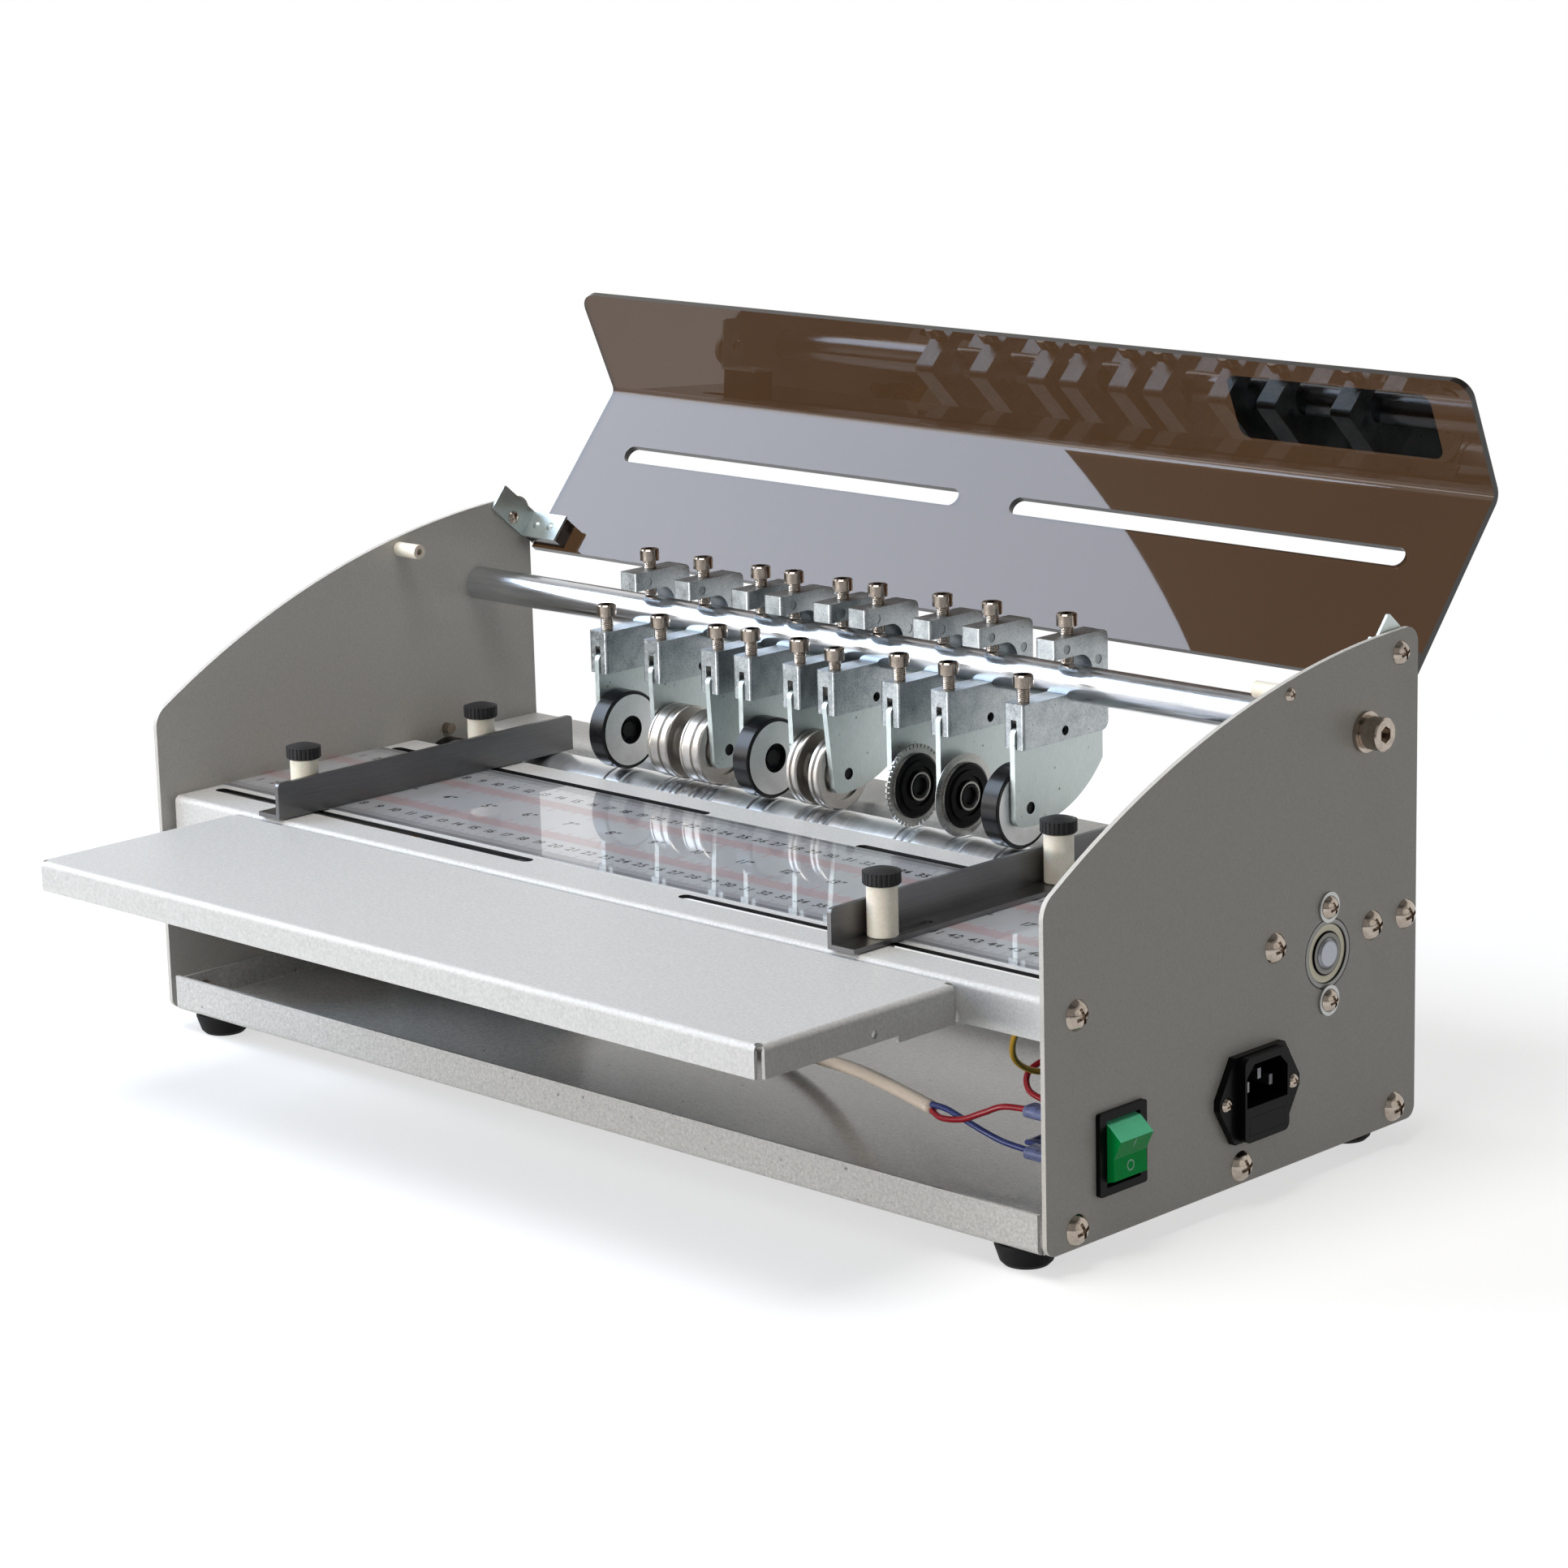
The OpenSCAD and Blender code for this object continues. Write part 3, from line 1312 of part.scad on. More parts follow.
module perforating_wheel(i) {
    root_r = wheel_r - 1.5;
    step = 360 / perforating_teeth;
    tooth = [[wheel_r, 0], [wheel_r, 0.7], [root_r, 0.72], [root_r, 0.98]];
    blade_hub(i);
    color("#8e8d86")
        wheel_place(i)
            translate([0, 0, blade_hub_w / 2 - disc_t / 2])
                linear_extrude(disc_t)
                    difference() {
                        polygon([
                            for (k = [0 : perforating_teeth - 1])
                                for (q = tooth)
                                    q[0] * [cos((k + q[1]) * step), sin((k + q[1]) * step)]
                        ]);
                        circle(r = blade_r + press);
                    }
}

module slitting_wheel(i) {
    bevel = 2.2;
    edge_t = 0.2;
    middle = blade_hub_w / 2;
    blade_hub(i);
    color("#8e8d86")
        wheel_place(i)
            rotate_extrude() polygon([
                [blade_r + press, middle - disc_t / 2], [wheel_r - bevel, middle - disc_t / 2],
                [wheel_r, middle - edge_t / 2], [wheel_r, middle + edge_t / 2],
                [wheel_r - bevel, middle + disc_t / 2], [blade_r + press, middle + disc_t / 2]
            ]);
}

module tool_wheel(i) {
    kind = tools[i][1];
    if (kind == "feed") feed_wheel(i);
    if (kind == "wide" || kind == "narrow") crease_wheel(i);
    if (kind == "perforate") perforating_wheel(i);
    if (kind == "slit") slitting_wheel(i);
}

// Paper guides, with the nuts that their clamps pull up against the table
function guide_x(left) = left ? left_guide_x : right_guide_x;
function outward(left) = left ? -1 : 1;
function clamp_at(left, y) = [guide_x(left) + outward(left) * post_offset, y];

module guide(left) {
    end_r = 1.8;
    color("#6c7072") {
        difference() {
            translate([guide_x(left), 0, 0]) mirror([left ? 1 : 0, 0, 0]) union() {
                translate([0, guide_front, guide_z]) cube([guide_t, guide_len, guide_h]);
                translate([0, guide_front, guide_z]) cube([guide_foot, guide_len, guide_t]);
            }
            along_x(guide_x(left) - guide_foot - over, 2 * (guide_foot + over))
                for (p = [[guide_front + end_r, -1], [guide_front + guide_len - end_r, 1]])
                    corner_relief([p[0], guide_z + guide_h - end_r], end_r, [p[1], 0], [0, 1]);
            for (y = [slot_front_y, slot_rear_y])
                rod_z(guide_z - over, guide_t + 2 * over, stud_r + run_fit, clamp_at(left, y));
            translate([clamp_at(left, 0)[0], 0, guide_z - over])
                rotate(90)
                    linear_extrude(guide_t + 2 * over)
                        round_slot(slot_front_y + post_d / 2, slot_front_y + guide_slot, 2 * (stud_r - 0.4));
        }
        for (y = [slot_front_y, slot_rear_y])
            translate(concat(clamp_at(left, y), clamp_nut_z))
                difference() {
                    cylinder(r = 4.6, h = clamp_nut_h, $fn = 6);
                    translate([0, 0, -over]) cylinder(r = stud_r + run_fit, h = clamp_nut_h + 2 * over);
                }
    }
}

module posts(left) {
    color("#efe9dc")
        for (y = [slot_front_y, slot_rear_y])
            translate(concat(clamp_at(left, y), post_z))
                rotate_extrude() polygon([
                    [stud_r + run_fit, 0], [post_d / 2 - 0.4, 0], [post_d / 2, 0.4],
                    [post_d / 2, post_h - 0.4],
                    [post_d / 2 - 0.4, post_h], [stud_r + run_fit, post_h]
                ]);
}

module clamp_knob(left, y) {
    r = knob_d / 2;
    flutes = 24;
    skirt = knob_h - 1.5;
    stud_low = clamp_nut_z - 1;
    color("#1e1f21")
        translate(concat(clamp_at(left, y), knob_z)) {
            difference() {
                rotate_extrude()
                    union() {
                        polygon([[0, 0], [r - 0.5, 0], [r, 0.5], [r, skirt], [0, skirt]]);
                        translate([0, skirt - 0.01]) dome_half(r - 0.4, knob_h - skirt);
                    }
                for (k = [0 : flutes - 1])
                    rotate(360 * k / flutes)
                        translate([r + 0.25, 0, -over]) cylinder(r = 0.6, h = skirt + over);
            }
            translate([0, 0, stud_low - knob_z]) cylinder(r = stud_r, h = knob_z - stud_low + over);
        }
}

// Cover: a bent acrylic sheet with two access slots and glued blocks for its hinge brackets
module in_cover() {
    translate([0, cover_edge[0], cover_edge[1]]) rotate([cover_tilt, 0, 0]) children();
}

module cover_section() {
    outer = cover_bend_r + cover_t;
    c = [cover_bend_s, cover_bend_r];
    lip = [cos(cover_bend), sin(cover_bend)];
    down = [sin(cover_bend), -cos(cover_bend)];
    half_turn = tan(cover_bend / 2);
    difference() {
        polygon([
            [0, -cover_t], c + outer * [half_turn, -1], c + outer * down + cover_lip_flat * lip,
            c + cover_bend_r * down + cover_lip_flat * lip, c + cover_bend_r * [half_turn, -1], [0, 0]
        ]);
        corner_relief(c, outer, [0, -1], down);
    }
    difference() {
        polygon([
            c + [0, -cover_bend_r - 1], c + (cover_bend_r + 1) * [half_turn, -1],
            c + (cover_bend_r + 1) * down, c + cover_bend_r * down, c + [0, -cover_bend_r]
        ]);
        translate(c) circle(r = cover_bend_r);
    }
}

module safety_cover() {
    slot_outer = cover_slot_inner + cover_slot_len;
    color("#5a4636", 0.6)
        in_cover() {
            difference() {
                along_x(-cover_half, 2 * cover_half) cover_section();
                both_sides() {
                    translate([0, cover_slot_s, -cover_t - over])
                        linear_extrude(cover_t + 2 * over)
                            round_slot(cover_slot_inner, slot_outer, cover_slot_w);
                    translate([0, cover_bend_s, cover_bend_r])
                        rotate([cover_bend, 0, 0])
                            translate([0, 0, -cover_bend_r - cover_t - over])
                                linear_extrude(cover_t + 2 * over)
                                    corner_relief(
                                        [cover_half - cover_corner_r, cover_lip_flat - cover_corner_r],
                                        cover_corner_r, [1, 0], [0, 1]
                                    );
                }
            }
            both_sides()
                translate([cover_half - bracket_leg + 2, block_s[0], -over])
                    cube([bracket_leg - 2, block_s[1] - block_s[0], block_t + over]);
        }
}

module cover_brackets() {
    rivet = [2, 0.9];
    rivet_x = [6.7, 15.8];
    end_r = 1;
    color("#c5c9cb")
        in_cover() both_sides()
            difference() {
                union() {
                    translate([bracket_x + bracket_t - bracket_leg, bracket_s[0], block_t + seat])
                        cube([bracket_leg, bracket_s[1] - bracket_s[0], bracket_t]);
                    along_x(bracket_x, bracket_t)
                        difference() {
                            translate([bracket_s[0], block_t + seat])
                                square([bracket_s[1] - bracket_s[0], bracket_end - block_t - seat]);
                            for (p = [[bracket_s[0] + end_r, -1], [bracket_s[1] - end_r, 1]])
                                corner_relief([p[0], bracket_end - end_r], end_r, [p[1], 0], [0, 1]);
                        }
                    for (x = rivet_x)
                        translate([bracket_x + bracket_t - x, (bracket_s[0] + bracket_s[1]) / 2,
                                   block_t + seat + bracket_t])
                            rotate_extrude() dome_half(rivet[0], rivet[1]);
                }
                rod_x(bracket_x - over, bracket_t + 2 * over, hinge_r + run_fit, [hinge_drop, hinge_reach]);
            }
}

module placed() {
    translate(origin_shift) children();
}

placed() left_side_plate();
placed() right_side_plate();
placed() base_pan();
placed() feed_table();
placed() ruler_sheet();
placed() front_tray();
placed() delivery_table();
placed() tool_bar();
placed() plate_screws();
placed() roller_bearings();
placed() stop_pins();
placed() rubber_feet();
placed() mains_inlet();
placed() switch_housing();
placed() motor_cable();
placed() wiring();
placed() crimp_sleeves();
placed() gear_motor();
placed() motor_bracket();
placed() safety_cover();
placed() cover_brackets();
placed() switch_rocker();
placed() crease_roller();
placed() roller_gear();
placed() motor_gear();
placed() guide(true);  // left_guide
placed() guide(false);  // right_guide
placed() posts(true);  // left_posts
placed() posts(false);  // right_posts
placed() clamp_knob(true, slot_front_y);  // left_front_knob
placed() clamp_knob(true, slot_rear_y);  // left_rear_knob
placed() clamp_knob(false, slot_front_y);  // right_front_knob
placed() clamp_knob(false, slot_rear_y);  // right_rear_knob
for (i = [0 : len(tools) - 1]) {
    placed() tool_holder(i);
    placed() wheel_carrier(i);
    placed() tool_wheel(i);
}
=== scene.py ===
# %% [markdown]
# # A desk machine that creases, perforates and slits paper
# The solid model already holds the true shapes: bent sheet metal, a driven roller, a bar with nine
# tools and a smoked cover. This lesson dresses it. Finishes go on the solids where their shape is
# right, and thin or wound things (wires, screw threads, print) are added as numpy surfaces.

# %% Load the solid model
import math

import bpy
import numpy as np
from mathutils import Matrix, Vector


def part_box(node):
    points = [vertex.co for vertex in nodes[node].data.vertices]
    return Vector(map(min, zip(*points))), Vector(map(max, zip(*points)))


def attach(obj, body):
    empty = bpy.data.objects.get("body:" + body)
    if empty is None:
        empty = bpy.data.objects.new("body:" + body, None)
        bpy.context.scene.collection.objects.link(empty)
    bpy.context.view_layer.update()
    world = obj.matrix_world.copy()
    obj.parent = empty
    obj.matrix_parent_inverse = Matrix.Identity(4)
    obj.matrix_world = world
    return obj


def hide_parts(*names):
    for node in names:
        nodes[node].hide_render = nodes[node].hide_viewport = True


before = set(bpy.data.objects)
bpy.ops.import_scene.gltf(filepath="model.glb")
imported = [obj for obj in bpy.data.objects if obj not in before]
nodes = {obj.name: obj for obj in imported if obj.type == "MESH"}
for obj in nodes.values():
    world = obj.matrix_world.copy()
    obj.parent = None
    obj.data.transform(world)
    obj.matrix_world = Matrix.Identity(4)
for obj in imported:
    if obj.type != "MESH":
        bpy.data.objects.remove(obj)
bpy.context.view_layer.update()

# %% [markdown]
# The machine was drawn with depths from the plates' front edge and heights from their underside.
# Blender works in metres around the part's own origin, so one small function carries a point over.

# %% From the machine's millimetres to metres
plate_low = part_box("left_side_plate")[0]
SHIFT = np.array([0.0, plate_low[1], plate_low[2]]) * 1000


def place(points):
    """Points in machine millimetres, moved by the origin's shift and divided by a thousand."""
    return (np.asarray(points, float) + SHIFT) / 1000


print("front edge of the plates in metres", place([0, 0, 0]).round(4))

# %% [markdown]
# The camera stands where the photograph was taken from: a long lens, a little above the table. Its
# three axes come from the turn, the height angle and the slight roll, and fill the camera's matrix.

# %% Camera
TURN, HEIGHT, ROLL = np.radians([44.48, 13.39, -1.46])
FOCAL_PX, IMAGE_PX, SENSOR_MM, FAR_VIEW = 5419.0, 1932.0, 36.0, 50
CAMERA_AT = (1237.5, -1131.0, 534.6)
backward = math.cos(HEIGHT) * np.array([math.sin(TURN), -math.cos(TURN), 0.0])
backward[2] = math.sin(HEIGHT)
sideways = np.array([math.cos(TURN), math.sin(TURN), 0.0])
upward = np.cross(backward, sideways)
spin = np.array([[math.cos(ROLL), math.sin(ROLL), 0],
                 [-math.sin(ROLL), math.cos(ROLL), 0],
                 [0, 0, 1]])
axes = spin @ np.array([sideways, upward, backward])
lens = bpy.data.cameras.new("camera")
lens.sensor_width = SENSOR_MM
lens.lens = FOCAL_PX / IMAGE_PX * SENSOR_MM
lens.clip_end = FAR_VIEW
camera = bpy.data.objects.new("camera", lens)
bpy.context.scene.collection.objects.link(camera)
stand = Matrix(axes.T.tolist()).to_4x4()
stand.translation = place(CAMERA_AT)
camera.matrix_world = stand
bpy.context.scene.camera = camera
bpy.context.scene.view_settings.view_transform = "Standard"
print("lens of", round(lens.lens, 1), "mm at", [round(v, 3) for v in stand.translation])

# %% [markdown]
# Nodes are small boxes joined by links. A few helpers keep the finishes short: one adds a box and
# fills or links its inputs, others do a sum or carry a value to another range, and one starts a
# material and hands back its Object coordinates, which stay on the metal however the piece moves.

# %% Helpers for materials


def box(tree, kind, inputs=None, **settings):
    """Adds one shader node; inputs given as sockets are linked and plain values are set."""
    made = tree.nodes.new("ShaderNode" + kind)
    for key, value in settings.items():
        setattr(made, key, value)
    for key, value in (inputs or {}).items():
        if isinstance(value, bpy.types.NodeSocket):
            tree.links.new(value, made.inputs[key])
        else:
            made.inputs[key].default_value = value
    return made


def maths(tree, operation, first, second):
    """One sum of two sockets or numbers, such as ADD, MULTIPLY or MAXIMUM."""
    return box(tree, "Math", {0: first, 1: second}, operation=operation).outputs[0]


def rescale(tree, value, source, target=(0.0, 1.0), curve="LINEAR"):
    """Carries a value from a source range to a target range and holds it at the ends."""
    ends = {"From Min": source[0], "From Max": source[1], "To Min": target[0], "To Max": target[1]}
    made = box(tree, "MapRange", {"Value": value, **ends}, interpolation_type=curve)
    return made.outputs["Result"]


def linear(colour):
    """Screen colour from 0 to 255 to the linear light values that shaders work with."""
    c = np.asarray(colour, float) / 255
    return [*np.where(c <= 0.04045, c / 12.92, ((c + 0.055) / 1.055) ** 2.4), 1.0]


def ramp(tree, factor, *stops):
    """Colour band: each stop is a place from 0 to 1 and a screen colour."""
    band = box(tree, "ValToRGB", {"Fac": factor})
    keys = band.color_ramp.elements
    while len(keys) < len(stops):
        keys.new(0.5)
    for key, (at, colour) in zip(keys, stops):
        key.position = at
        key.color = linear(colour)
    return band.outputs["Color"]


def start(name):
    """New material with its tree, shader and Object coordinates."""
    made = bpy.data.materials.new(name)
    made.use_nodes = True
    tree = made.node_tree
    return made, tree, tree.nodes["Principled BSDF"], box(tree, "TexCoord").outputs["Object"]


def dress(tree, shader, colour, rough, **values):
    """Links a colour and a roughness to the shader, and sets its other inputs by their names."""
    tree.links.new(colour, shader.inputs["Base Color"])
    tree.links.new(rough, shader.inputs["Roughness"])
    for key, value in values.items():
        shader.inputs[key.replace("_", " ")].default_value = value


print("helpers ready")

# %% [markdown]
# Most real surfaces are the same recipe: two close tones in soft clouds, a roughness that wanders a
# little, and a fine relief. Stretching the coordinates turns clouds into brushed or turned lines.
# One function makes them all, and each finish below only chooses its numbers.

# %% One recipe for most finishes
TONE_SPAN, ROUGH_SPAN = (0.34, 0.66), (0.35, 0.65)
DOT_EDGE, DOT_PATCH = (0.06, 0.18), (0.54, 0.6)
MIX_FACTOR, MIX_A, MIX_B, MIX_RESULT = 0, 6, 7, 2


def finish(name, dark, light, rough, metal=0.0, clouds=60.0, grain=1500.0, relief=0.0,
           stretch=(1, 1, 1), specks=None, **values):
    """Tones and roughness from cloud noise, relief (mm deep) from a finer one, dots if asked."""
    made, tree, shader, coords = start(name)
    soft = box(tree, "TexNoise", {"Vector": coords, "Scale": clouds, "Detail": 4.0,
                                  "Roughness": 0.6}).outputs["Fac"]
    drawn = box(tree, "Mapping", {"Vector": coords, "Scale": stretch}).outputs["Vector"]
    fine = box(tree, "TexNoise", {"Vector": drawn, "Scale": grain, "Detail": 2.0,
                                  "Roughness": 0.55}).outputs["Fac"]
    half = maths(tree, "MULTIPLY", maths(tree, "ADD", soft, fine), 0.5)
    colour = ramp(tree, half, (TONE_SPAN[0], dark), (TONE_SPAN[1], light))
    if specks:
        density, dot_colour = specks
        near = box(tree, "TexVoronoi", {"Vector": coords, "Scale": density}).outputs["Distance"]
        dots = rescale(tree, near, DOT_EDGE, (1.0, 0.0))
        spot = maths(tree, "MULTIPLY", dots, rescale(tree, soft, DOT_PATCH))
        mixed = {MIX_FACTOR: spot, MIX_A: colour, MIX_B: linear(dot_colour)}
        colour = box(tree, "Mix", mixed, data_type="RGBA").outputs[MIX_RESULT]
    dress(tree, shader, colour, rescale(tree, half, ROUGH_SPAN, rough), Metallic=metal, **values)
    if relief:
        bump = box(tree, "Bump", {"Strength": 1.0, "Distance": relief / 1000, "Height": fine})
        tree.links.new(bump.outputs["Normal"], shader.inputs["Normal"])
    return made


powder_paint = finish("powder_paint", (192, 191, 189), (216, 215, 213), (0.36, 0.48),
                      clouds=700, grain=900, relief=0.065)
pan_paint = finish("pan_paint", (174, 173, 171), (212, 211, 208), (0.14, 0.2),
                   clouds=700, grain=900, relief=0.06, specks=(130, (70, 68, 66)),
                   Specular_IOR_Level=1.0)
plate_paint = finish("plate_paint", (190, 187, 181), (206, 203, 197), (0.34, 0.46),
                     clouds=900, grain=1500, relief=0.03)
foot_rubber = finish("foot_rubber", (14, 14, 14), (26, 26, 27), (0.55, 0.75),
                     grain=900, relief=0.02, Specular_IOR_Level=0.15)
tyre_rubber = finish("tyre_rubber", (7, 7, 9), (15, 15, 18), (0.18, 0.28),
                     grain=1200, relief=0.004, Specular_IOR_Level=0.35)
black_moulding = finish("black_moulding", (8, 8, 9), (17, 17, 18), (0.28, 0.4),
                        grain=2200, relief=0.006, Specular_IOR_Level=0.1)
knob_moulding = finish("knob_moulding", (28, 28, 29), (44, 44, 46), (0.42, 0.56),
                       grain=1600, relief=0.015, Specular_IOR_Level=0.2)
nylon = finish("nylon", (226, 218, 200), (240, 234, 220), (0.4, 0.52),
               clouds=120, grain=900, relief=0.01, Subsurface_Weight=0.25,
               Subsurface_Scale=0.002)
print("paint, rubber and plastic finishes made")

# %% [markdown]
# Metals differ by how they were worked. The bar is ground and polished along its length, the roller
# is turned, so its lines run round it, the guides are brushed, the holders are cast in zinc, and the
# screws are nickel plated, which gives them a warm tint.

# %% Metal finishes
polished_bar = finish("polished_bar", (200, 203, 209), (226, 229, 233), (0.16, 0.26), 1.0,
                      clouds=25, grain=900, relief=0.001, stretch=(0.05, 1, 1))
turned_roller = finish("turned_roller", (212, 214, 218), (244, 246, 248), (0.28, 0.4), 1.0,
                       clouds=18, grain=2600, relief=0.003, stretch=(1, 0.02, 0.02))
cast_zinc = finish("cast_zinc", (138, 145, 149), (196, 201, 203), (0.28, 0.46), 1.0,
                   clouds=120, grain=1300, relief=0.012, specks=(420, (96, 100, 102)))
sheet_zinc = finish("sheet_zinc", (180, 190, 189), (206, 214, 213), (0.4, 0.55), 1.0,
                    clouds=110, grain=2400, relief=0.004, stretch=(1, 1, 0.15),
                    specks=(260, (84, 86, 84)))
brushed_guide = finish("brushed_guide", (110, 110, 111), (124, 123, 123), (0.28, 0.38), 1.0,
                       clouds=14, grain=1900, relief=0.002, stretch=(1, 0.03, 1))
nickel = finish("nickel", (150, 138, 127), (190, 179, 168), (0.08, 0.16), 1.0,
                clouds=300, grain=2500, relief=0.002)
white_zinc = finish("white_zinc", (164, 167, 166), (192, 194, 192), (0.28, 0.42), 1.0,
                    clouds=300, grain=2500, relief=0.002)
# A darker zinc for the ejector marks: painted shade in their shallow recesses.
mark_shade_zinc = finish("mark_shade_zinc", (112, 118, 121), (160, 165, 167), (0.3, 0.46), 1.0,
                   clouds=300, grain=1300, relief=0.006)
chrome = finish("chrome", (172, 167, 161), (204, 200, 195), (0.3, 0.38), 1.0,
                clouds=60, grain=2600)
satin_disc = finish("satin_disc", (216, 217, 217), (236, 237, 237), (0.36, 0.48), 1.0,
                    clouds=140, grain=1800, relief=0.003)
blade_steel = finish("blade_steel", (150, 149, 146), (184, 183, 180), (0.24, 0.38), 1.0,
                     clouds=160, grain=2200, relief=0.003)
gear_brass = finish("gear_brass", (176, 138, 66), (208, 172, 94), (0.26, 0.4), 1.0,
                    clouds=120, grain=2000, relief=0.003)
motor_case = finish("motor_case", (104, 106, 110), (136, 138, 142), (0.36, 0.5), 1.0,
                    clouds=90, grain=1500, relief=0.006)
# Near black for bores, holes and slot walls: painted shade, where their insides lie in shade.
painted_shade = finish("painted_shade", (14, 14, 15), (26, 26, 28), (0.5, 0.65), 0.4, clouds=200)
print(len(bpy.data.materials), "finishes so far")

# %% [markdown]
# A ball bearing shows rings: the shaft's end, the inner ring, a yellowish shield and the outer ring.
# Each could be a solid of its own, but they lie flush, so a colour band over the distance from the
# roller's axis draws them, with dark lines where one ring ends and the next begins.

# %% Rings round an axis
ROLLER_AXIS, RING_SPAN = (164.8, 78.5), 16.0


def ringed(name, axis, *stops):
    """Rings round an axis along x: the colour is looked up by the distance (mm) from it."""
    made, tree, shader, coords = start(name)
    middle = (0.0, *(-place([0, *axis]))[1:])
    across = {"Vector": coords, "Location": middle, "Scale": (0, 1, 1)}
    flat = box(tree, "Mapping", across).outputs["Vector"]
    far = box(tree, "VectorMath", {0: flat}, operation="LENGTH").outputs["Value"]
    share = maths(tree, "DIVIDE", far, RING_SPAN / 1000)
    colour = ramp(tree, share, *[(at / RING_SPAN, tone) for at, tone in stops])
    soft = box(tree, "TexNoise", {"Vector": coords, "Scale": 900.0}).outputs["Fac"]
    dress(tree, shader, colour, rescale(tree, soft, (0.0, 1.0), (0.24, 0.44)), Metallic=1.0)
    return made


bearing_face = ringed(
    "bearing_face", ROLLER_AXIS,
    (4.6, (158, 161, 168)), (5.0, (116, 119, 124)), (5.9, (140, 142, 145)), (6.0, (36, 36, 36)),
    (6.4, (104, 104, 102)), (7.8, (122, 121, 117)), (8.1, (44, 43, 41)), (8.7, (54, 52, 48)),
    (9.0, (150, 146, 130)), (11.2, (160, 156, 140)), (11.5, (48, 47, 45)),
    (11.9, (120, 120, 118)), (13.2, (134, 134, 132)), (13.6, (52, 52, 50)))
print("bearing face with rings up to", RING_SPAN, "mm from its axis")

# %% [markdown]
# Smoked acrylic is a clear sheet with brown dye. Light is dyed on the way in and on the way out, and
# the shader shares the tint between the two faces, so the colour written here is that of one pass
# through the sheet. The sawn edges look almost black, because there the eye looks along the sheet,
# and they get a darker dye of their own. The rocker is moulded in green, and its upper facet gets a
# paler green: a painted highlight for the light that falls on it from above.

# %% Smoked sheet, sleeves and rocker
FADED = 0.97


def clear(name, tint, rough, index, weight=1.0):
    """Dyed clear plastic: the tint with faint cloud noise, and a little roughness from it."""
    made, tree, shader, coords = start(name)
    soft = box(tree, "TexNoise", {"Vector": coords, "Scale": 14.0, "Detail": 3.0}).outputs["Fac"]
    colour = ramp(tree, soft, (0.3, [FADED * t for t in tint]), (0.7, tint))
    wander = rescale(tree, soft, (0.0, 1.0), rough)
    dress(tree, shader, colour, wander, Transmission_Weight=weight, IOR=index)
    return made


smoked_sheet = clear("smoked_sheet", (82, 60, 42), (0.0, 0.02), 1.49)
smoked_edge = clear("smoked_edge", (34, 27, 23), (0.1, 0.2), 1.49, 0.5)
sleeve_plastic = clear("sleeve_plastic", (178, 190, 236), (0.12, 0.2), 1.46, 0.75)
rocker_green = finish("rocker_green", (6, 182, 84), (14, 198, 98), (0.2, 0.3), clouds=90,
                      Specular_IOR_Level=0.05)
# A paler copy of the green for the upper facet: a painted highlight for the light from above.
rocker_painted_highlight = finish("rocker_painted_highlight", (112, 240, 182), (126, 250, 196), (0.2, 0.3), clouds=90,
                    Specular_IOR_Level=0.05)
print("smoked sheet, sleeves and rocker made")

# %% [markdown]
# The scale lies under a clear gloss film, so the light-grey sheet gets a coat, and so do the inks.
# The print itself comes later as thin raised ink.

# %% Scale sheet, inks and film
scale_sheet = finish("scale_sheet", (172, 173, 177), (184, 185, 189), (0.3, 0.36),
                     clouds=30, grain=1500, Coat_Weight=1.0, Coat_Roughness=0.02)
ink = {name: finish(f"{name}_ink", dark, light, (0.3, 0.4), clouds=300, Coat_Weight=1.0,
                    Coat_Roughness=0.03)
       for name, dark, light in (("black", (26, 27, 29), (44, 45, 47)),
                                 ("red", (190, 112, 112), (202, 130, 130)),
                                 ("grey", (104, 105, 110), (122, 123, 127)))}
ink["white"] = finish("white_ink", (150, 214, 176), (172, 226, 194), (0.4, 0.5), clouds=300)
film_black = finish("film_black", (9, 9, 9), (17, 16, 16), (0.34, 0.46), clouds=40, grain=900,
                    Specular_IOR_Level=0.15)
print(len(ink), "inks")

# %% [markdown]
# The solids arrive as loose triangles, so a piece made of two metals is split by measuring: a
# triangle whose three corners lie within a radius, or between two planes, gets another finish.

# %% Measuring and painting the solids


def corners(name):
    """Corners of every triangle of a solid, in machine millimetres: (triangles, 3, 3)."""
    mesh = nodes[name].data
    points = np.empty(len(mesh.vertices) * 3, np.float32)
    mesh.vertices.foreach_get("co", points)
    order = np.empty(len(mesh.loops), np.int32)
    mesh.loops.foreach_get("vertex_index", order)
    return points.reshape(-1, 3)[order].reshape(-1, 3, 3) * 1000.0 - SHIFT


def paint(name, base, *zones):
    """Gives a solid its base finish, and each zone (finish, mask of triangles) on top of it."""
    mesh = nodes[name].data
    index = np.zeros(len(mesh.polygons), np.int32)
    mesh.materials.clear()
    mesh.materials.append(base)
    for number, (material, mask) in enumerate(zones, 1):
        mesh.materials.append(material)
        index[mask] = number
    mesh.polygons.foreach_set("material_index", index)
    mesh.update()
    return index


def reach(tri, at, first=1, second=2):
    """Distance of each corner from an axis through a point of two coordinates."""
    return np.hypot(tri[:, :, first] - at[0], tri[:, :, second] - at[1])


def between(tri, axis, low, high):
    """Triangles whose corners all lie between two planes across an axis."""
    return ((tri[:, :, axis] > low) & (tri[:, :, axis] < high)).all(1)


